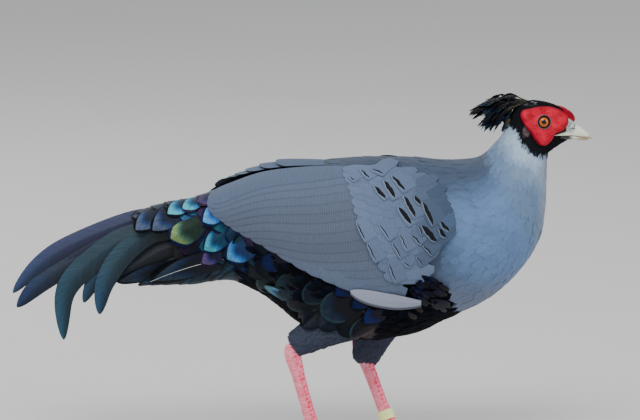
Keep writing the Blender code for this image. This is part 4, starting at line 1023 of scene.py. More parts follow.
dark = math_node(tree, "MULTIPLY", dark, marked)
# painted shade: a thin dark line along one long edge of each wing vane stands for the shadow where it
# overlaps the next feather
edge_shade_line = math_node(tree, "MULTIPLY", step_node(tree, read(tree, "across").outputs["Fac"], 0.8, 0.97), 0.24)
edge_shaded = mix_colour(tree, edge_shade_line, plain, (0.035, 0.045, 0.07, 1))
barred = mix_colour(tree, pale, edge_shaded, (0.3, 0.38, 0.47, 1))
barred = mix_colour(tree, dark, barred, (0.002, 0.0025, 0.004, 1))
tree.links.new(barred, shader.inputs["Base Color"])
for side_name, side in (("right", -1), ("left", 1)):
    draw = np.random.default_rng(30 + side)
    vanes = []
    last = SECONDARIES - 1
    tips = smooth_rows(SECONDARY_TIPS, np.linspace(0, len(SECONDARY_TIPS) - 1, SECONDARIES))
    for k, tip in enumerate(tips):
        root = (between(SECONDARY_ROOT_X, k / last), between(SECONDARY_ROOT_ANGLE, k / last))
        layer = (last / 2 - k) * SECONDARY_LAYER
        vane = body_vane(on_body(*root), on_body(*tip), SECONDARY_HALF_WIDTH, (layer - SECONDARY_SUNK, layer),
                         rows=34, narrow=0.6, full=0.3, end=0.86)
        vane["values"] = {"tint": wing_tint(tip[0] + 40, tip[1], draw), "fleck": 0.5}
        vanes.append(vane)
    if side > 0:
        for root, tip in BACK_FEATHERS:
            vane = body_vane(on_body(*root), on_body(*tip), SECONDARY_HALF_WIDTH, BACK_LIFTS, rows=34,
                             narrow=0.6, full=0.3, end=0.8, on_wing=False)
            vane["values"] = {"tint": wing_tint(10, 40, draw) * BACK_SHADE, "fleck": 0.5}
            vanes.append(vane)
    for drop, shade in PRIMARY_STEPS:
        vane = side_vane(np.subtract(PRIMARY_TIP, (0, drop)), np.subtract(PRIMARY_ROOT, (0, drop)),
                         PRIMARY_HALF_WIDTH, np.subtract(PRIMARY_LIFTS, drop / 2), rows=34, bow=PRIMARY_BOW,
                         narrow=0.35, full=0.45, end=0.6, point=0.6)
        vane["values"] = {"tint": paint(146, 154, 172) * shade, "fleck": 0.1}
        vane["ridge"] = 0.3
        vanes.append(vane)
    for number, (back, low, count, length, half_width, turn, height) in enumerate(COVERT_TIERS):
        for k in range(count):
            share = (k + 0.5 * (number % 2)) / count
            tip = (between((back[0], low[0]), share**TIER_BOW) + draw.uniform(-1.2, 1.2),
                   between((back[1], low[1]), share) + draw.uniform(-1, 1))
            vane = body_vane(on_body(tip[0] + length, tip[1] + turn), on_body(*tip), half_width,
                             (-TIER_SUNK, height), rows=18, end=0.62)
            vane["values"] = {"tint": wing_tint(tip[0], tip[1], draw), "fleck": 0.45}
            vanes.append(vane)
    for upper, lower, thickness in WING_BARS:
        vane = barred_vane(upper, lower, thickness)
        vane["values"].update({"tint": wing_tint(upper[0], 60, draw), "fleck": 0.45})
        vanes.append(vane)
    for vane in vanes:
        vane["values"] = {"bar": 99.0, "bar_half": 0.0, "seed": draw.random(), **vane["values"]}
    wing = feather_piece(f"wing_feathers_{side_name}", vanes, wing_material, side, thickness=0.09, ridge=0.02)
    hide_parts(f"wing_{side_name}")
    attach(wing, "root")

# Rump and tail coverts
# Broad round scales over the root of the tail, dusky at the base, then teal, with a shining crescent and a
# dark rim. Longer blue-black feathers close the underside of the tail.
SCALE_LENGTH, SCALE_FRONT, TAIL_FRONT = 36, 400, 134
# Rows over the rump: tip x, scales on one side, the angle of the lowest one and half width.
SCALE_ROWS = (
    (-168, 2, 46, 12), (-152, 3, 62, 13), (-136, 4, 78, 13.5), (-120, 5, 100, 13.5), (-105, 5, 116, 14),
    (-91, 6, 126, 14), (-78, 6, 130, 13.5), (-66, 6, 132, 13), (-56, 6, 132, 12.5), (-46, 6, 130, 12.5),
)
# Feathers under the tail: tip x, the upper and lower angle of the row, feathers and half width.
VENT_ROWS = ((-80, 112, 172, 5, 13), (-95, 116, 172, 5, 13), (-110, 120, 172, 4, 13), (-125, 126, 174, 4, 13),
             (-140, 134, 174, 3, 12), (-152, 142, 174, 3, 11), (-162, 150, 174, 2, 10))
SKY, TURQUOISE, GOLD, VIOLET, SLATE = (
    paint(78, 146, 196), paint(70, 156, 170), paint(108, 132, 84), paint(84, 70, 112), paint(74, 86, 110))
RIM_BLUE, RIM_VIOLET, RIM_BLACK = paint(12, 20, 58), paint(36, 20, 48), paint(5, 6, 10)
QUILL_GREY, TEAL_EDGE, GLINT_BLUE = paint(40, 52, 68), paint(60, 96, 108), paint(22, 42, 104)
# The largest scales as the side view has them: x and z of the tip and the root, half width, crescent, rim.
GREAT_SCALES = (
    ((-166, 204), (-136, 230), 13.5, SLATE, RIM_BLACK),
    ((-149, 204), (-119, 230), 13, SLATE * 0.9, RIM_BLACK),
    ((-100, 174), (-74, 191), 11.5, VIOLET, RIM_VIOLET), ((-131, 197), (-95, 221), 16, GOLD, RIM_BLUE),
    ((-134, 220), (-104, 241), 10.5, TURQUOISE, RIM_BLACK),
    ((-119, 225), (-90, 243), 10.5, TURQUOISE, RIM_VIOLET),
    ((-97, 187), (-70, 209), 13.5, TURQUOISE, RIM_BLUE), ((-98, 214), (-72, 236), 14, SKY, RIM_BLUE),
    ((-74, 179), (-46, 200), 13, SKY * 0.9, RIM_BLUE),
    ((-104, 232), (-78, 246), 10, VIOLET * 0.6, RIM_VIOLET),
)
GREAT_LIFTS, GREAT_STEP = (-0.4, 3.0), 0.1
# Broad dark feathers of the flank, which lie over the drumstick: as above, with the height of the tip. The
# second one, under the tail, has a pale quill.
FLANK_FEATHERS = (
    ((-184, 151.5), (-104, 174), 8, QUILL_GREY * 0.8, RIM_BLACK, 1),
    ((-151, 153), (-58, 181), 11.5, QUILL_GREY, RIM_BLACK, 7),
    ((-37, 170), (-10, 192), 12, GLINT_BLUE * 0.4, RIM_BLUE, 2),
    ((-52, 160), (-26, 182), 12, TEAL_EDGE * 0.1, RIM_BLACK, 2),
    ((-43, 146), (-14, 168), 13, TEAL_EDGE * 0.1, TEAL_EDGE * 0.3, 2),
    ((-24, 143), (6, 166), 13, TEAL_EDGE * 0.2, TEAL_EDGE * 0.2, 2.6),
    ((-37, 151), (-4, 131), 4.6, TEAL_EDGE * 1.9, TEAL_EDGE, 4.5),
    ((-12, 128), (14, 150), 13, QUILL_GREY * 0.2, TEAL_EDGE * 0.2, 2),
    ((0, 112), (28, 138), 13, QUILL_GREY * 0.3, QUILL_GREY * 0.2, 2),
    ((3, 137), (28, 158), 12, QUILL_GREY * 0.3, TEAL_EDGE * 0.25, 2.4),
    ((18, 111), (46, 134), 13, QUILL_GREY * 0.3, QUILL_GREY * 0.2, 2),
    ((38, 105), (66, 126), 13, QUILL_GREY * 0.2, QUILL_GREY * 0.1, 2),
    ((58, 100), (86, 118), 12, QUILL_GREY * 0.2, QUILL_GREY * 0.1, 2),
    ((20, 125), (58, 142), 16, QUILL_GREY * 0.6, TEAL_EDGE * 0.3, 2.8),
    ((33, 145), (60, 160), 9, GLINT_BLUE * 0.4, RIM_BLACK, 1.8),
    ((50, 132), (76, 148), 9, GLINT_BLUE * 0.35, RIM_BLACK, 2.2),
    ((62, 116), (88, 134), 10, GLINT_BLUE * 0.6, RIM_BLACK, 2.4),
    ((49, 102), (80, 120), 11, QUILL_GREY * 0.2, TEAL_EDGE * 0.3, 2.8),
)
# Ragged black feathers that stand up over the front corner of the wing: how many there are, where their tips
# lie along the body and how far down they reach.
PATCH_FEATHERS, PATCH_X, PATCH_DEPTH = 60, (105, 136), 26
QUILLED = 1


def scale_tints(x, angle, draw):
    """The crescent's and the rim's colours of one scale."""
    if x < -134:
        return SLATE * draw.uniform(0.3, 0.6), RIM_BLACK
    if angle > 96:
        dusky = between((TURQUOISE, RIM_BLUE), draw.uniform(0.2, 0.9))
        return dusky * draw.uniform(0.05, 0.2), RIM_BLUE * 0.3
    tint = (SKY, TURQUOISE, GOLD, VIOLET)[draw.choice(4, p=(0.3, 0.4, 0.1, 0.2))]
    fade = 1 - 0.5 * ease(np.array(angle), 60, 96)
    return tint * draw.uniform(0.15, 0.5) * fade, (RIM_BLUE, RIM_VIOLET)[int(draw.random() < 0.35)]


scale_material, tree, shader = new_material("shining_scales", 0.42, Specular_IOR_Level=0.2)
barbs = add_barbs(tree, 0.7, 1.1, 1.0)
along, across = (read(tree, name).outputs["Fac"] for name in ("along", "across"))
reach = math_node(tree, "DIVIDE", math_node(tree, "SUBTRACT", along, 0.5), 0.5)
reach = math_node(tree, "MAXIMUM", reach, 0.0)
reach = math_node(tree, "SQRT", math_node(tree, "ADD", math_node(tree, "POWER", reach, 2.0),
                                          math_node(tree, "POWER", across, 2.0)))
crescent = math_node(tree, "MULTIPLY", step_node(tree, reach, 0.1, 0.85), step_node(tree, along, 0.4, 0.85))
rim = step_node(tree, reach, 0.92, 0.97)
tint = read(tree, "tint").outputs["Color"]
dusk = mix_colour(tree, 1.0, tint, (0.05, 0.09, 0.16, 1), "MULTIPLY")
teal = mix_colour(tree, 1.0, tint, (0.3, 0.5, 0.85, 1), "MULTIPLY")
colour = mix_colour(tree, step_node(tree, crescent, 0.0, 0.55), dusk, teal)
colour = mix_colour(tree, step_node(tree, crescent, 0.4, 0.95), colour, tint)
colour = mix_colour(tree, rim, colour, read(tree, "edge").outputs["Color"])
pale_shaft = math_node(tree, "MULTIPLY", barbs["Shaft"], read(tree, "quill").outputs["Fac"])
colour = mix_colour(tree, pale_shaft, colour, (0.5, 0.52, 0.52, 1))
shade = math_node(tree, "ADD", 0.95, math_node(tree, "MULTIPLY", barbs["Streak"], 1.6))
tree.links.new(mix_colour(tree, 1.0, colour, grey_of(tree, shade), "MULTIPLY"), shader.inputs["Base Color"])
tree.links.new(math_node(tree, "ADD", 0.15, math_node(tree, "MULTIPLY", crescent, 0.5)),
               shader.inputs["Metallic"])
add_bump(tree, shader, barbs["Height"], 0.4, 0.25)
for side_name, side in (("right", -1), ("left", 1)):
    draw = np.random.default_rng(60 + side)
    vanes = []
    for number, (tip_x, count, lowest, half_width) in enumerate(SCALE_ROWS):
        for k in range(count):
            angle = lowest * (k + (0.5 if number % 2 else 0.1)) / count + draw.uniform(-2, 2)
            tip = on_body(tip_x + draw.uniform(-2.5, 2.5), angle)
            front = -TAIL_FRONT if tip_x < -160 else -SCALE_FRONT
            root = on_body(max(tip_x + SCALE_LENGTH, front), angle - 3)
            lifts = (-1.8, 0.9 + 0.12 * number)
            vane = body_vane(root, tip, half_width * draw.uniform(0.9, 1.08), lifts, rows=18,
                             on_wing=False, tilt=0.04, narrow=0.5, full=0.4, end=0.5)
            tint, edge = scale_tints(tip_x, angle, draw)
            vane["values"] = {"tint": tint, "edge": edge}
            vanes.append(vane)
    for tip_x, upper, lower, count, half_width in VENT_ROWS:
        for k in range(count):
            angle = between((upper, lower), (k + 0.5) / count) + draw.uniform(-2, 2)
            tip = on_body(tip_x + draw.uniform(-4, 4), angle)
            vane = body_vane(on_body(tip_x + 48, angle - 8), tip, half_width, (-1.6, 1.2), rows=20,
                             on_wing=False, tilt=-0.04, narrow=0.5, full=0.4, end=0.5, point=0.65)
            vane["values"] = {"tint": paint(28, 48, 64) * draw.uniform(0.5, 1.4),
                              "edge": between((RIM_BLUE, TURQUOISE), draw.uniform(0, 0.7)) * 0.15}
            vanes.append(vane)
    for number, (tip, root, half_width, tint, edge) in enumerate(GREAT_SCALES):
        lifts = (GREAT_LIFTS[0], GREAT_LIFTS[1] + GREAT_STEP * number - 2.2 * (side > 0))
        vane = body_vane(side_place(*root, 1), side_place(*tip, 1), half_width, lifts, rows=30, on_wing=False,
                         tilt=0.05, narrow=0.5, full=0.4, end=0.6)
        vane["values"] = {"tint": tint, "edge": edge}
        vanes.append(vane)
    for number, (tip, root, half_width, tint, edge, height) in enumerate(FLANK_FEATHERS):
        leg = "left" if side > 0 else "right"
        vane = side_vane(tip, root, half_width, (-1.4, height), bow=-1.0 - 3.0 * (number == QUILLED), leg=leg,
                         narrow=0.5, full=0.4, end=0.58)
        vane["values"] = {"tint": tint, "edge": edge, "quill": float(number == QUILLED)}
        vanes.append(vane)
    for _ in range(PATCH_FEATHERS):
        tip_x = draw.uniform(*PATCH_X)
        tip_z = np.interp(tip_x, BELLY_EDGE_X, BELLY_EDGE_Z) - PATCH_DEPTH * draw.random() ** 1.4
        root = (tip_x + draw.uniform(8, 15), tip_z - draw.uniform(7, 13))
        vane = side_vane((tip_x, tip_z), root, draw.uniform(2.0, 3.2), (1.5, draw.uniform(4.6, 6.2)), rows=10,
                         bow=draw.uniform(-0.5, 1.5), leg=leg, narrow=0.5, full=0.3, end=0.5, point=0.9)
        vane["values"] = {"tint": GLINT_BLUE * draw.choice((0.1, 0.1, 0.3)), "edge": GLINT_BLUE * 0.05}
        vanes.append(vane)
    for vane in vanes:
        vane["values"] = {"quill": 0.0, "seed": draw.random(), **vane["values"]}
    coverts = feather_piece(f"tail_coverts_{side_name}", vanes, scale_material, side)
    if side < 0:
        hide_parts("rump")
    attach(coverts, "root")

# Tail
# Eight long feathers on each side stand on edge as a folded fan and curve down at their ends. Dark blue-grey
# with a strong shaft, violet along the top edge of the fan and greener on the drooping ones. Painted light
# brightens the upper half of each vane, and painted shade darkens its lower half and its root.
# Each feather: its way from root to tip in x and z, half width, how far out it lies at root and tip, colour.
RECTRICES = (
    (((-116, 219), (-166, 214), (-228, 190), (-263, 168), (-289, 140)), 9.5, (2.4, 3.2), (38, 44, 72)),
    (((-116, 210), (-166, 203), (-228, 173), (-260, 151), (-285, 126)), 11.5, (3.8, 6.0), (26, 36, 50)),
    (((-116, 206), (-166, 200), (-207, 175), (-236, 142), (-238, 94)), 12, (5.2, 13), (24, 46, 58)),
    (((-116, 203), (-158, 196), (-190, 172), (-208, 152), (-218, 131)), 9, (6.6, 8.5), (24, 38, 52)),
    (((-116, 208), (-150, 202), (-180, 178), (-197, 150), (-202, 120)), 11, (8.0, 15), (28, 52, 64)),
    (((-116, 188), (-138, 184), (-160, 172), (-176, 162), (-188, 152)), 10.5, (4.6, 6.5), (20, 28, 38)),
    (((-110, 178), (-120, 174), (-132, 166), (-144, 158), (-156, 151)), 9.5, (6.0, 8.5), (24, 40, 50)),
    (((-116, 214), (-166, 208), (-220, 184), (-250, 160), (-276, 134)), 10.5, (3.1, 4.6), (30, 38, 58)),
)
TAIL_MIDDLE, RECTRIX_LEAN = 1.0, 0.2

tail_material = plumage_material("tail_vanes", barb=0.9, slope=1.3, shaft=1.0, roughness=0.42, root_shade=0.35,
                                 streak=1.4, sheen=0.0)
tree = tail_material.node_tree
shader = tree.nodes["Principled BSDF"]
plain = shader.inputs["Base Color"].links[0].from_socket
# painted light and shade: each tail vane is brightened on its upper half and darkened on its lower half, as
# if lit from above
half = math_node(tree, "ADD", 0.45, math_node(tree, "MULTIPLY", step_node(
    tree, read(tree, "across").outputs["Fac"], -0.9, 0.7), 1.1))
tree.links.new(mix_colour(tree, 1.0, plain, grey_of(tree, half), "MULTIPLY"), shader.inputs["Base Color"])
for side_name, side in (("right", -1), ("left", 1)):
    draw = np.random.default_rng(90 + side)
    vanes = []
    for way, half_width, outs, colour in RECTRICES:
        last = len(way) - 1
        path = [(x, -(TAIL_MIDDLE + between(outs, (k / last) ** 2)), z) for k, (x, z) in enumerate(way)]
        vane = path_vane(path, (0, -1, RECTRIX_LEAN), half_width, rows=44, narrow=0.5, full=0.3, end=0.55,
                         point=0.75)
        vane["values"] = {"tint": paint(*colour) * draw.uniform(0.9, 1.1), "glint": 0.3,
                          "seed": draw.random()}
        vanes.append(vane)
    tail = feather_piece(f"tail_feathers_{side_name}", vanes, tail_material, side, thickness=0.45, ridge=0.5)
    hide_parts(f"tail_{side_name}")
    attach(tail, "root")

# Crest
# A loose tuft on the hind crown: wiry shafts, bare at first, that open into narrow blades with frayed edges.
# Black with a blue gloss, olive brown at the roots.
CREST_TIPS = np.array((
    (184, 334, 4, 3.5), (177, 328, -5, 6), (169, 323, 3, 7), (167, 319, -2, 7.5), (170, 313.5, 7, 8),
    (177, 309, -8, 8.5), (183, 305, 1, 8), (187, 302.5, 9, 8), (193, 309, -10, 8), (186, 325, 10, 6),
    (183, 318, -11, 7.5), (180, 308, -4, 9), (189, 306, -6, 8),
))
CREST_FEATHERS, CREST_ROOT_X, CREST_ROOT_LENGTH = 150, 213, 15
NAPE_FEATHERS, NAPE_HALF_WIDTH = 34, 2.2
CREST_HALF_WIDTH, CREST_SPREAD = 1.9, (2.4, 2.2, 2.6, 1.2)
# Short feathers of the nape under it: tips as above.
NAPE_TIPS = np.array((
    (201, 322, 3, 3), (199, 317, -3, 3), (200, 312, 5, 3), (203, 307, -5, 2.5), (205, 302, 2, 2),
))

crest_material = plumage_material("crest_vanes", barb=0.5, slope=1.6, shaft=1.0, roughness=0.4, root_shade=0.0,
                                  streak=0.5, sheen=0.0, specular=0.16)
CREST_BLACK, CREST_BROWN = paint(3, 6, 14), paint(72, 64, 46)
draw = np.random.default_rng(11)
tufts = [(CREST_TIPS[k % len(CREST_TIPS)] + draw.normal(size=4) * CREST_SPREAD * (k >= len(CREST_TIPS)),
          draw.random(), draw.uniform(0, 0.5) * (k >= 4 * len(CREST_TIPS)), CREST_HALF_WIDTH,
          0.02 + 0.26 * (k % 3 == 0))
         for k in range(CREST_FEATHERS)]
tufts += [(NAPE_TIPS[k % len(NAPE_TIPS)] + draw.normal(size=4) * 1.5, -0.1 - 0.15 * draw.random(), 0.0,
           NAPE_HALF_WIDTH, 0.9) for k in range(NAPE_FEATHERS)]
vanes = []
for (tip_x, tip_z, tip_y, arch), place, short, half_width, brown_to in tufts:
    root_x = CREST_ROOT_X + CREST_ROOT_LENGTH * place
    root = np.array((root_x, np.clip(tip_y, -11, 11) * 0.35, np.interp(root_x, (209, 212, 218, 229),
                                                                       (309, 324, 331, 333))))
    tip = np.array((max(tip_x, 167), np.clip(tip_y, -11, 11), min(tip_z, 334.5)))
    tip = tip + (root - tip) * short
    middle = (root + tip) / 2 + (0, tip_y * 0.15, arch)
    late = root * 0.22 + tip * 0.78 + (0, tip_y * 0.08, arch * 0.62)
    face = (0.25, 0.5 * (1 if tip_y > 0 else -1) + draw.uniform(-0.5, 0.5), 1)
    vane = path_vane((root, middle, late, tip), face, half_width * draw.uniform(0.7, 1.35), rows=30,
                     camber=0.2, twist=draw.uniform(-0.8, 0.8), narrow=0.12 if brown_to < 0.5 else 0.5,
                     full=0.6, end=0.62, point=0.8)
    fray = 1 + 0.22 * draw.normal(size=(30, 1, 1)) * (abs(VANE_Q) > 0.7)[None, :, None]
    spine = vane["grid"][:, 4:5]
    vane["grid"] = spine + (vane["grid"] - spine) * fray
    brown = np.repeat(1 - ease(vane["s"], brown_to, brown_to + 0.3), 2 * len(VANE_Q) - 2)[:, None]
    vane["values"] = {"tint": CREST_BLACK + (CREST_BROWN - CREST_BLACK) * brown * draw.uniform(0.2, 0.9),
                      "glint": 0.6 * (draw.random() < 0.5), "seed": draw.random()}
    vanes.append(vane)
crest = feather_piece("crest_feathers", vanes, crest_material, thickness=0.22, ridge=0.2)
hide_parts("crest")
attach(crest, "root")

# Eyes
# Glossy balls with an orange iris and a small black pupil, set in the bare skin of the face.
def head_point(x, z, lift, side=-1):
    """Points over the face at places of the side view, lift above the plumage's outline."""
    x, z = np.atleast_1d(x).astype(float), np.atleast_1d(z).astype(float)
    t, share = np.full(x.shape, 20.5), np.full(x.shape, 0.45)

    def flat(t, share):
        row = smooth_rows(PLUMAGE, t)
        return row[:, :2] + (row[:, 2:4] - row[:, :2]) * share[:, None]

    for _ in range(14):
        here = flat(t, share)
        by_t = (flat(t + 0.02, share) - flat(t - 0.02, share)) / 0.04
        by_share = (flat(t, share + 0.01) - flat(t, share - 0.01)) / 0.02
        miss = np.stack([x, z], 1) - here
        area = by_t[:, 0] * by_share[:, 1] - by_t[:, 1] * by_share[:, 0]
        t = np.clip(t + np.clip((miss[:, 0] * by_share[:, 1] - miss[:, 1] * by_share[:, 0]) / area, -1, 1),
                    14, LAST_SECTION - 0.03)
        turned = (by_t[:, 0] * miss[:, 1] - by_t[:, 1] * miss[:, 0]) / area
        share = np.clip(share + np.clip(turned, -0.2, 0.2), 0.004, 0.996)
    point = raised(t, np.arccos(1 - 2 * share), lift)
    point[:, (0, 2)] += np.stack([x, z], 1) - flat(t, share)
    return point * (1, -side, 1)


EYE_ROWS, EYE_COLUMNS = 48, 64
PUPIL, IRIS = 2.15, 4.75
eye_material, tree, shader = new_material("eye", 0.1, Coat_Weight=0.25, Coat_Roughness=0.03,
                                          Specular_IOR_Level=0.25)
ring = read(tree, "ring").outputs["Fac"]
spokes = add_node(tree, "ShaderNodeTexNoise", {
    "Vector": add_node(tree, "ShaderNodeTexCoord").outputs["Object"], "Scale": 900.0, "Detail": 3.0})
iris = mix_colour(tree, spokes.outputs[0], (0.62, 0.14, 0.004, 1), (0.34, 0.05, 0.002, 1))
iris = mix_colour(tree, step_node(tree, ring, PUPIL, PUPIL + 0.5), (0.003, 0.003, 0.004, 1), iris)
iris = mix_colour(tree, step_node(tree, ring, IRIS - 0.3, IRIS + 0.1), iris, (0.004, 0.004, 0.005, 1))
tree.links.new(iris, shader.inputs["Base Color"])
for side_name, side in (("right", -1), ("left", 1)):
    centre = head_point(EYE_X, EYE_Z, -EYE_DEPTH, side)[0]
    way = unit(head_point(EYE_X, EYE_Z, 1, side)[0] - centre)
    across = unit(np.cross(way, (0, 0, 1)))
    up = np.cross(across, way)
    polar = np.linspace(0.02, np.pi - 0.02, EYE_ROWS)
    turn = 2 * np.pi * np.arange(EYE_COLUMNS) / EYE_COLUMNS
    flat = np.cos(turn)[None, :, None] * across + np.sin(turn)[None, :, None] * up
    ball = centre + EYE_RADIUS * (np.cos(polar)[:, None, None] * way + np.sin(polar)[:, None, None] * flat)
    eye = mesh_piece(f"glass_eye_{side_name}", ball.reshape(-1, 3), ring_faces(EYE_ROWS, EYE_COLUMNS))
    off_axis = EYE_RADIUS * np.where(polar < np.pi / 2, np.sin(polar), 2 - np.sin(polar))
    put(eye.data, "ring", "FLOAT", np.repeat(off_axis, EYE_COLUMNS))
    eye.data.materials.append(eye_material)
    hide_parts(f"eye_{side_name}")
    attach(eye, "root")

# Bare face
# Swollen red skin round each eye, covered in fine papillae and drawn into folds, with a black lid that has a
# thin grey edge. The red is darkened by painted shade towards the outer rim.
FACE_RAYS, FACE_RINGS, FACE_SUNK = 224, 46, -1.0
LIDS = ((4.9, 0.5), (5.4, 1.3), (5.9, 1.8), (6.5, 1.9), (7.1, 1.5), (7.8, 1.0), (8.6, 1.15))
SWELLING = np.array(((0.0, 1.15), (0.3, 1.8), (0.62, 2.5), (0.84, 2.4), (0.95, 1.6), (1.0, 0.5)))
LID_EDGE, LID_GREY = 6.35, 7.1
# The left face shows over the forehead, so its front edge reaches further up.
FAR_FACE = np.array((6.6, 4.4, 1.0, 0) + (0,) * 11 + (1.5,))
face_material, tree, shader = new_material("bare_face", 0.58, Subsurface_Weight=0.05, Subsurface_Scale=0.002,
                                           Specular_IOR_Level=0.18)
object_place = add_node(tree, "ShaderNodeTexCoord").outputs["Object"]
pits = add_node(tree, "ShaderNodeTexVoronoi", {"Vector": object_place, "Scale": 1100.0})
patches = add_node(tree, "ShaderNodeTexNoise", {"Vector": object_place, "Scale": 170.0, "Detail": 4.0})
colour = read(tree, "tint").outputs["Color"]
shade = math_node(tree, "ADD", 0.45, math_node(tree, "MULTIPLY", patches.outputs[0], 1.0))
tree.links.new(mix_colour(tree, 1.0, colour, grey_of(tree, shade), "MULTIPLY"), shader.inputs["Base Color"])
add_bump(tree, shader, pits.outputs["Distance"], 0.5, 0.35)
for side_name, side in (("right", -1), ("left", 1)):
    turn = 2 * np.pi * np.arange(FACE_RAYS) / FACE_RAYS
    edge = WATTLE_EDGE + FAR_FACE * (side > 0)
    edge = smooth_rows(np.tile(edge, 3)[:, None], 16 + np.arange(FACE_RAYS) * 16 / FACE_RAYS)[:, 0]
    share = np.linspace(0, 1, FACE_RINGS)[1:]
    start = LIDS[-1][0]
    reach = np.concatenate([np.repeat([[lid[0]] for lid in LIDS], FACE_RAYS, axis=1),
                            start + (edge - start) * share[:, None]])
    swell = smooth_rows(SWELLING[:, 1:], np.interp(share, SWELLING[:, 0], np.arange(len(SWELLING))))[:, 0]
    fold = 0.45 * np.sin(7 * turn) + 0.35 * np.sin(11 * turn + 1) + 0.2 * np.sin(23 * turn + 2)
    fold = fold * np.sin(np.pi * share[:, None]) * np.sin(2.2 * np.pi * share[:, None] + turn)
    height = np.concatenate([np.repeat([[lid[1]] for lid in LIDS], FACE_RAYS, axis=1), swell[:, None] + fold])
    x = (EYE_X + reach * np.cos(turn)).ravel()
    z = (EYE_Z + reach * np.sin(turn)).ravel()
    place = head_point(x, z, 0, side)
    grown = wander(place, 2.6, 40) * 0.16 + wander(place, 1.3, 41) * 0.1
    inner = (reach.ravel() > start) & (np.tile(edge, len(reach)) - reach.ravel() > 0.6)
    top = head_point(x, z, height.ravel() + 0.3 + grown * inner, side).reshape(len(reach), FACE_RAYS, 3)
    low = head_point(x, z, FACE_SUNK, side).reshape(len(reach), FACE_RAYS, 3)
    rings = np.concatenate([top, low[::-1]])
    count = len(rings)
    faces = []
    for row in range(count):
        above = (row + 1) % count
        for ray in range(FACE_RAYS):
            after = (ray + 1) % FACE_RAYS
            face = (row * FACE_RAYS + ray, row * FACE_RAYS + after, above * FACE_RAYS + after,
                    above * FACE_RAYS + ray)
            faces.append(face)
    face_piece = mesh_piece(f"bare_face_{side_name}", rings.reshape(-1, 3), faces)
    if side < 0:
        face_piece.data.flip_normals()
    reach_all = np.concatenate([reach, reach[::-1]]).ravel()
    rim_near = (np.tile(edge, 2 * len(reach)) - reach_all)
    red = paint(168, 0, 30) + (paint(204, 6, 52) - paint(168, 0, 30)) * (
        0.5 + 0.5 * wander(rings.reshape(-1, 3), 9, 44).clip(-1, 1))[:, None]
    # painted shade: the red darkens towards the face's outer rim, where the swollen skin turns away from the
    # light
    tint = red * (0.6 + 0.4 * ease(rim_near, 0, 4.5))[:, None]
    tint = np.where((reach_all < LID_GREY)[:, None], paint(92, 84, 96), tint)
    tint = np.where((reach_all < LID_EDGE)[:, None], paint(14, 14, 18), tint)
    put(face_piece.data, "tint", "FLOAT_COLOR", np.column_stack([tint, np.ones(len(tint))]))
    face_piece.data.materials.append(face_material)
    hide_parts(f"wattle_{side_name}")
    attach(face_piece, "root")

# Bill
# Two horny halves, the upper one arched over the lower and drawn back along the gape, with a nostril under a
# low flap on each side. Pale horn, greyer over the nostril and ochre along the cutting edge. Painted shade
# makes the nostril's opening and the lower half behind its tip near black.
UPPER_BILL = np.array((
    (263.5, 316.8, 300.6, 7.8), (266, 316, 299.6, 7.4), (271, 312.9, 299, 6.7), (277, 308.2, 298.1, 5.5),
    (283, 303.6, 297.1, 3.9), (287, 299.4, 295.9, 2.2), (289.6, 295.8, 294.3, 0.8),
))
GAPE = np.array(((251.5, 301.1, 299.8, 14.2), (258, 303.3, 299.7, 13.2), (268.5, 305.6, 299.3, 8.3)))
LOWER_BILL = np.array((
    (258, 299.2, 295, 10.8), (268, 298.6, 294.4, 7), (276, 297.5, 294, 4.9), (283, 296.4, 293.9, 2.9),
    (286.5, 295.2, 293.7, 1.4),
))
NOSTRIL_X, NOSTRIL_Z, BILL_FLAT = 271, 306, 0.35
BILL_ROWS, BILL_COLUMNS = 64, 64


def bill_rings(rows, flat_top=False):
    row = smooth_rows(rows, np.linspace(0, 1, BILL_ROWS) ** 0.8 * (len(rows) - 1))
    turn = 2 * np.pi * np.arange(BILL_COLUMNS) / BILL_COLUMNS
    low, high = (-1, BILL_FLAT) if flat_top else (-BILL_FLAT, 1)
    share = (np.clip(np.cos(turn), low, high) - low) / (high - low)
    y = row[:, 3:] * np.sin(turn)
    z = row[:, 2:3] + share * (row[:, 1:2] - row[:, 2:3])
    x = np.repeat(row[:, :1], BILL_COLUMNS, axis=1)
    if not flat_top:
        off = np.hypot((x - NOSTRIL_X) / 3.0, (z - NOSTRIL_Z + 0.25 * (x - NOSTRIL_X)) / 1.0)
        over = np.hypot((x - NOSTRIL_X) / 5.0, (z - NOSTRIL_Z - 2.2) / 2.6)
        y = y * (1 - 0.2 * np.exp(-off**2)) + np.sign(y) * 0.55 * np.exp(-over**2) * (abs(y) > 1)
    return np.stack([x, y, z], axis=2)


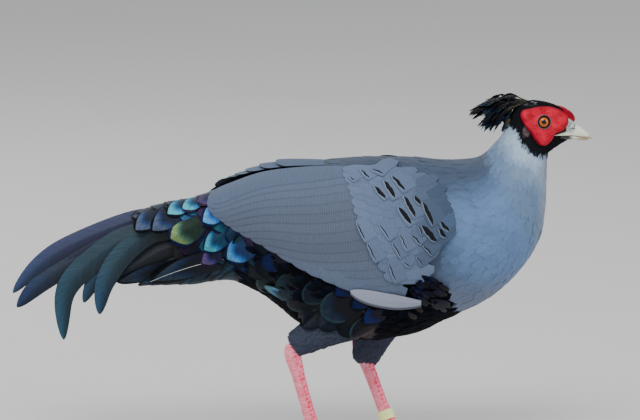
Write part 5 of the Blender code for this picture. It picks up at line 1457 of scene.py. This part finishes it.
horn_material, tree, shader = new_material("horn", 0.36, Subsurface_Weight=0.08, Subsurface_Scale=0.002)
object_place = add_node(tree, "ShaderNodeTexCoord").outputs["Object"]
stretched = add_node(tree, "ShaderNodeMapping", {"Vector": object_place, "Scale": (150, 700, 700)})
grain = add_node(tree, "ShaderNodeTexNoise", {"Vector": stretched.outputs[0], "Scale": 1.0, "Detail": 4.0})
shade = math_node(tree, "ADD", 0.84, math_node(tree, "MULTIPLY", grain.outputs[0], 0.32))
tree.links.new(mix_colour(tree, 1.0, read(tree, "tint").outputs["Color"], grey_of(tree, shade), "MULTIPLY"),
               shader.inputs["Base Color"])
add_bump(tree, shader, grain.outputs[0], 0.25, 0.3)
for name, parts, flat_top in (("upper", (UPPER_BILL, GAPE), False), ("lower", (LOWER_BILL,), True)):
    rings = [bill_rings(part, flat_top) for part in parts]
    faces = ring_faces(BILL_ROWS, BILL_COLUMNS)
    joined = [tuple(corner + number * BILL_ROWS * BILL_COLUMNS for corner in face)
              for number in range(len(rings)) for face in faces]
    points = np.concatenate([ring.reshape(-1, 3) for ring in rings])
    bill = mesh_piece(f"horn_bill_{name}", points, joined)
    bill.data.flip_normals()
    x, z = points[:, 0], points[:, 2]
    tint = np.tile(paint(214, 216, 200), (len(x), 1))
    ochre = ease(x, 271, 280) * (1 - ease(z, 296.6, 298.6 if flat_top else 299.6))
    tint += (paint(150, 112, 64) - tint) * (0.8 * ochre)[:, None]
    grey = (1 - ease(np.hypot((x - 268.5) / 6.5, (z - 309) / 8), 0.6, 1.1)) * (not flat_top)
    tint += (paint(168, 174, 178) - tint) * (0.8 * grey)[:, None]
    hatch = grey * ease(wander(points * (0.8, 1, 1.3), 2.0, 61), 0.2, 0.45)
    tint += (paint(30, 30, 36) - tint) * (0.85 * hatch)[:, None]
    # painted shade: the nostril's opening is painted near black for the shadow inside it
    hole = 1 - ease(np.hypot((x - NOSTRIL_X) / 2.4, (z - NOSTRIL_Z + 0.25 * (x - NOSTRIL_X)) / 0.7), 0.6, 1.1)
    tint += (paint(20, 18, 20) - tint) * hole[:, None]
    # painted shade: the lower bill is painted near black behind its tip, where the upper bill shades it
    if flat_top:
        tint += (paint(16, 15, 17) - tint) * (1 - ease(x, 266, 273))[:, None]
    put(bill.data, "tint", "FLOAT_COLOR", np.column_stack([tint, np.ones(len(tint))]))
    bill.data.materials.append(horn_material)
    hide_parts(f"bill_{name}")
    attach(bill, "root")

# Legs and feet
# Bare red legs in overlapping scutes, two rows down the front and small scales behind, paler along their
# edges. Three toes ahead and a raised hind toe, each with bands over its upper side and a horn claw.
SHANK_ROWS, SHANK_COLUMNS = 210, 64
SHANK_SHARES = (0.0, 0.04, 0.2, 0.45, 0.7, 0.88, 0.98, 1.06, 1.11)
SHANK_SCALES = (1.15, 1.12, 0.92, 0.9, 0.96, 1.12, 1.15, 0.95, 0.5)
SCUTE, SMALL_SCALE, SCUTE_HEIGHT = 4.4, 2.7, 0.32
TOES = (("inner", 34, 31, 4.3), ("middle", 2, 44, 4.6), ("outer", -30, 34, 4.2), ("hind", 172, 12, 3.4))
TOE_SHARES, TOE_SCALES = (0, 0.12, 0.38, 0.45, 0.75, 1), (1, 1.05, 0.84, 0.9, 0.76, 0.6)
TOE_START, TOE_AXIS, TOE_ROOT_RISE, TOE_ROWS, TOE_COLUMNS = 3, 0.66, 2.0, 90, 36
ANKLE_SHARES, ANKLE_SCALES = (-0.07, -0.02, 0.036), (1.05, 1.25, 1.12)
CLAW_SHARES, CLAW_SCALES, CLAW_LENGTH, CLAW_RADIUS = (0.0, 0.4, 0.75, 1.0), (1.0, 0.85, 0.5, 0.1), 11, 0.5
CLAW_CLEAR, CLAW_ARCH, CLAW_GAP = 0.4, 1.6, 0.3
SCUTE_WIDE, TOE_SCUTE_WIDE, TOE_SCUTE = 7.2, 9.0, 2.6


def scutes(around, down, wide, high):
    """Height of overlapping plates from 0 in the grooves to 1: places round and down in millimetres."""
    row = np.floor(down / high)
    across = around / wide + 0.5 * (row % 2)
    side = 2 * abs(across - np.round(across))
    place = 2 * (down / high - row) - 1
    return (1 - side**8) * (1 - abs(place) ** 8) * (0.75 + 0.25 * place)


leg_material, tree, shader = new_material("scaly_leg", 0.42, Subsurface_Weight=0.08, Subsurface_Scale=0.002)
object_place = add_node(tree, "ShaderNodeTexCoord").outputs["Object"]
mottle = add_node(tree, "ShaderNodeTexNoise", {"Vector": object_place, "Scale": 260.0, "Detail": 4.0})
groove = math_node(tree, "SUBTRACT", 1.0, step_node(tree, read(tree, "plate").outputs["Fac"], 0.15, 0.75))
red = mix_colour(tree, step_node(tree, mottle.outputs[0], 0.35, 0.65), (0.88, 0.02, 0.1, 1),
                 (1.0, 0.16, 0.27, 1))
tree.links.new(mix_colour(tree, math_node(tree, "MULTIPLY", groove, 0.42), red, (1.0, 0.78, 0.84, 1)),
               shader.inputs["Base Color"])
add_bump(tree, shader, mottle.outputs[0], 0.2, 0.2)
claw_material, tree, shader = new_material("claw_horn", 0.35)
object_place = add_node(tree, "ShaderNodeTexCoord").outputs["Object"]
grain = add_node(tree, "ShaderNodeTexNoise", {"Vector": object_place, "Scale": 500.0, "Detail": 3.0})
tree.links.new(mix_colour(tree, grain.outputs[0], (0.12, 0.09, 0.07, 1), (0.3, 0.24, 0.19, 1)),
               shader.inputs["Base Color"])


def scaled_tube(centres, radii, side, columns, flat, wide, high, front_only=False, floor=False):
    """A tube under plates that stand a little proud of its outline."""
    rings = tube(centres, radii, side, columns, flat)
    length = np.concatenate([[0], np.cumsum(np.linalg.norm(np.diff(centres, axis=0), axis=1))])
    turn = 2 * np.pi * np.arange(columns) / columns
    middle = rings.mean(axis=1, keepdims=True)
    out = unit(rings - middle)
    arc = (turn - np.pi * (turn > np.pi) * 2) * radii[:, None]
    down = np.repeat(-length[:, None], columns, axis=1)
    plates = scutes(arc, down, wide, high)
    if front_only:
        small = scutes(arc, down, SMALL_SCALE, SMALL_SCALE)
        front = ease(out @ np.array(front_only), 0.1, 0.3)
        plates = small * 0.7 * (1 - front) + plates * front
    fade = np.minimum(1, np.minimum(length, length[-1] - length) / 2)[:, None]
    rings = rings + out * ((plates - 0.6) * SCUTE_HEIGHT * fade)[:, :, None]
    if floor:
        rings[:, :, 2] = np.maximum(rings[:, :, 2], FLOOR_Z)
    return rings, plates


def tubes_piece(name, tubes, material):
    """One piece of several closed tubes, with the height of its plates as an attribute."""
    points, faces, plates, first = [], [], [], 0
    for rings, plate in tubes:
        rows, columns = rings.shape[:2]
        part = ring_faces(rows, columns)
        flat = rings.reshape(-1, 3)
        probe = flat[list(part[columns * (rows // 2)][:3])]
        outward = probe[0] - rings[rows // 2].mean(axis=0)
        if np.cross(probe[1] - probe[0], probe[2] - probe[0]) @ outward < 0:
            part = [tuple(reversed(face)) for face in part]
        faces += [tuple(first + corner for corner in face) for face in part]
        points.append(flat)
        plates.append(plate.ravel())
        first += len(flat)
    made = mesh_piece(name, np.concatenate(points), faces)
    put(made.data, "plate", "FLOAT", np.concatenate(plates))
    made.data.materials.append(material)
    return made


def leg_tube(name, shares, scales, rows, columns, front_only=False):
    foot, hock = leg_line(name)
    row = smooth_rows(np.column_stack([shares, scales]), np.linspace(0, len(shares) - 1, rows))
    centres = foot + (hock - foot) * row[:, :1]
    return scaled_tube(centres, TARSUS_DEPTH * row[:, 1], (0, 1, 0), columns, TARSUS_WIDTH / TARSUS_DEPTH,
                       SCUTE_WIDE, SCUTE, front_only)


for leg, side in (("right", -1), ("left", 1)):
    shank = tubes_piece(f"scaly_shank_{leg}", [
        leg_tube(leg, SHANK_SHARES, SHANK_SCALES, SHANK_ROWS, SHANK_COLUMNS, (1, 0, 0.2))], leg_material)
    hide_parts(f"shank_{leg}")
    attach(shank, "root")
    foot = LEG_FEET[leg]
    parts = [leg_tube(leg, ANKLE_SHARES, ANKLE_SCALES, 40, 48)]
    for toe, turn, length, radius in TOES:
        heading = math.radians(turn * -side)
        ahead = np.array((math.cos(heading), math.sin(heading), 0))
        beside = np.cross(ahead, (0, 0, 1))
        start = np.array((foot[0], foot[1], FLOOR_Z)) + ahead * TOE_START
        row = smooth_rows(np.column_stack([TOE_SHARES, TOE_SCALES]), np.linspace(0, 5, TOE_ROWS))
        centres = start + ahead * length * row[:, :1] + np.outer(row[:, 1] * radius * TOE_AXIS, (0, 0, 1))
        centres += np.outer(TOE_ROOT_RISE * (1 - ease(row[:, 0], 0, 0.14)), (0, 0, 1))
        parts.append(scaled_tube(centres, row[:, 1] * radius, beside, TOE_COLUMNS, 1.0, TOE_SCUTE_WIDE,
                                 TOE_SCUTE, floor=True))
        base = start + ahead * (length + CLAW_GAP)
        row = smooth_rows(np.column_stack([CLAW_SHARES, CLAW_SCALES]), np.linspace(0, 3, 24))
        share, radii = row[:, 0], radius * CLAW_RADIUS * row[:, 1]
        rise = CLAW_CLEAR + radii + CLAW_ARCH * np.sin(np.pi * share * 0.9)
        centres = base + np.outer(CLAW_LENGTH * share, ahead) + np.outer(rise, (0, 0, 1))
        rings = tube(centres, radii, beside, 20, 0.8)
        rings[0] -= ahead * ((rings[0] - base) @ ahead)[:, None]
        claw = tubes_piece(f"horn_claw_{leg}_{toe}", [(rings, np.ones(rings.shape[:2]))], claw_material)
        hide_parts(f"claw_{leg}_{toe}")
        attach(claw, "root")
    foot_piece = tubes_piece(f"scaly_foot_{leg}", parts, leg_material)
    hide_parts(f"foot_{leg}")
    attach(foot_piece, "root")

# Leg ring
# A flat band of yellow-green plastic bent round the left shank, open at a seam in front.
RING_DROP, RING_HEIGHT, RING_WALL, RING_CLEAR = 71.5, 10, 1.1, 0.7
RING_STEPS, RING_EDGE = 120, 0.35
ring_material, tree, shader = new_material("ring_plastic", 0.32)
object_place = add_node(tree, "ShaderNodeTexCoord").outputs["Object"]
scuffs = add_node(tree, "ShaderNodeTexNoise", {"Vector": object_place, "Scale": 420.0, "Detail": 5.0})
tree.links.new(mix_colour(tree, scuffs.outputs[0], (0.76, 0.86, 0.3, 1), (0.9, 0.96, 0.46, 1)),
               shader.inputs["Base Color"])
add_bump(tree, shader, scuffs.outputs[0], 0.1, 0.2)
foot, hock = leg_line("left")
up = unit(hock - foot)
ring_out = unit(np.cross(up, (0, 1, 0)))
ring_side = np.cross(up, ring_out)
profile = []
low, high = TARSUS_LENGTH - RING_DROP - RING_HEIGHT, TARSUS_LENGTH - RING_DROP
for wall, rise in (
        (0, low + RING_EDGE), (RING_EDGE, low), (RING_WALL - RING_EDGE, low), (RING_WALL, low + RING_EDGE),
        (RING_WALL, high - RING_EDGE), (RING_WALL - RING_EDGE, high), (RING_EDGE, high),
        (0, high - RING_EDGE)):
    profile.append((wall + RING_CLEAR, rise))
profile = np.array(profile)
turn = np.linspace(0.04, 2 * np.pi - 0.04, RING_STEPS)
depth, width = TARSUS_DEPTH + profile[:, 0], TARSUS_WIDTH + profile[:, 0]
band = (foot + up * profile[:, 1:])[None] + np.cos(turn)[:, None, None] * (ring_out * depth[:, None]) + \
    np.sin(turn)[:, None, None] * (ring_side * width[:, None])
leg_ring = mesh_piece("ring_band", band.reshape(-1, 3), ring_faces(RING_STEPS, len(profile)), False)
leg_ring.data.materials.append(ring_material)
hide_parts("leg_ring")
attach(leg_ring, "root")

# Floor, light and camera
# A plain pale floor and soft studio light; the camera looks from the bird's right, a little from above.
corners = [(x, y, FLOOR_Z) for x, y in ((-6000, -6000), (6000, -6000), (6000, 6000), (-6000, 6000))]
floor = mesh_piece("floor", corners, [(0, 1, 2, 3)], False)
floor_material, tree, shader = new_material("pale_floor", 0.85)
grain = add_node(tree, "ShaderNodeTexNoise", {
    "Scale": 3.0, "Detail": 4.0, "Vector": add_node(tree, "ShaderNodeTexCoord").outputs["Object"]})
tree.links.new(mix_colour(tree, grain.outputs[0], (0.66, 0.65, 0.63, 1), (0.7, 0.69, 0.67, 1)),
               shader.inputs["Base Color"])
floor.data.materials.append(floor_material)
world = bpy.data.worlds.new("studio")
world.use_nodes = True
world.node_tree.nodes["Background"].inputs["Color"].default_value = (0.93, 0.95, 1.0, 1)
world.node_tree.nodes["Background"].inputs["Strength"].default_value = 0.65
bpy.context.scene.world = world
LIGHTS = {
    "key": ((-0.5, -1.6, 2.3), 1.6, 55),
    "front": ((1.9, -1.2, 1.3), 1.4, 22),
    "rim": ((-1.2, 1.8, 1.9), 1.4, 26),
}
TARGET = Vector((0.0183, 0, 0.2322))
for name, (place, size, power) in LIGHTS.items():
    lamp = bpy.data.lights.new(name, "AREA")
    lamp.size, lamp.energy = size, power
    made = bpy.data.objects.new(name, lamp)
    made.location = place
    made.rotation_euler = (Vector(place) - TARGET).to_track_quat("Z", "Y").to_euler()
    bpy.context.scene.collection.objects.link(made)
CAMERA_AWAY, FRAME_WIDTH, CAMERA_UP = 8.0, 0.64, math.radians(8)
camera = bpy.data.objects.new("camera", bpy.data.cameras.new("camera"))
camera.data.lens = camera.data.sensor_width * CAMERA_AWAY / FRAME_WIDTH
camera.data.clip_end = 60
back = Vector((0, -math.cos(CAMERA_UP), math.sin(CAMERA_UP)))
camera.location = TARGET + back * CAMERA_AWAY
camera.rotation_euler = back.to_track_quat("Z", "Y").to_euler()
bpy.context.scene.collection.objects.link(camera)
bpy.context.scene.camera = camera
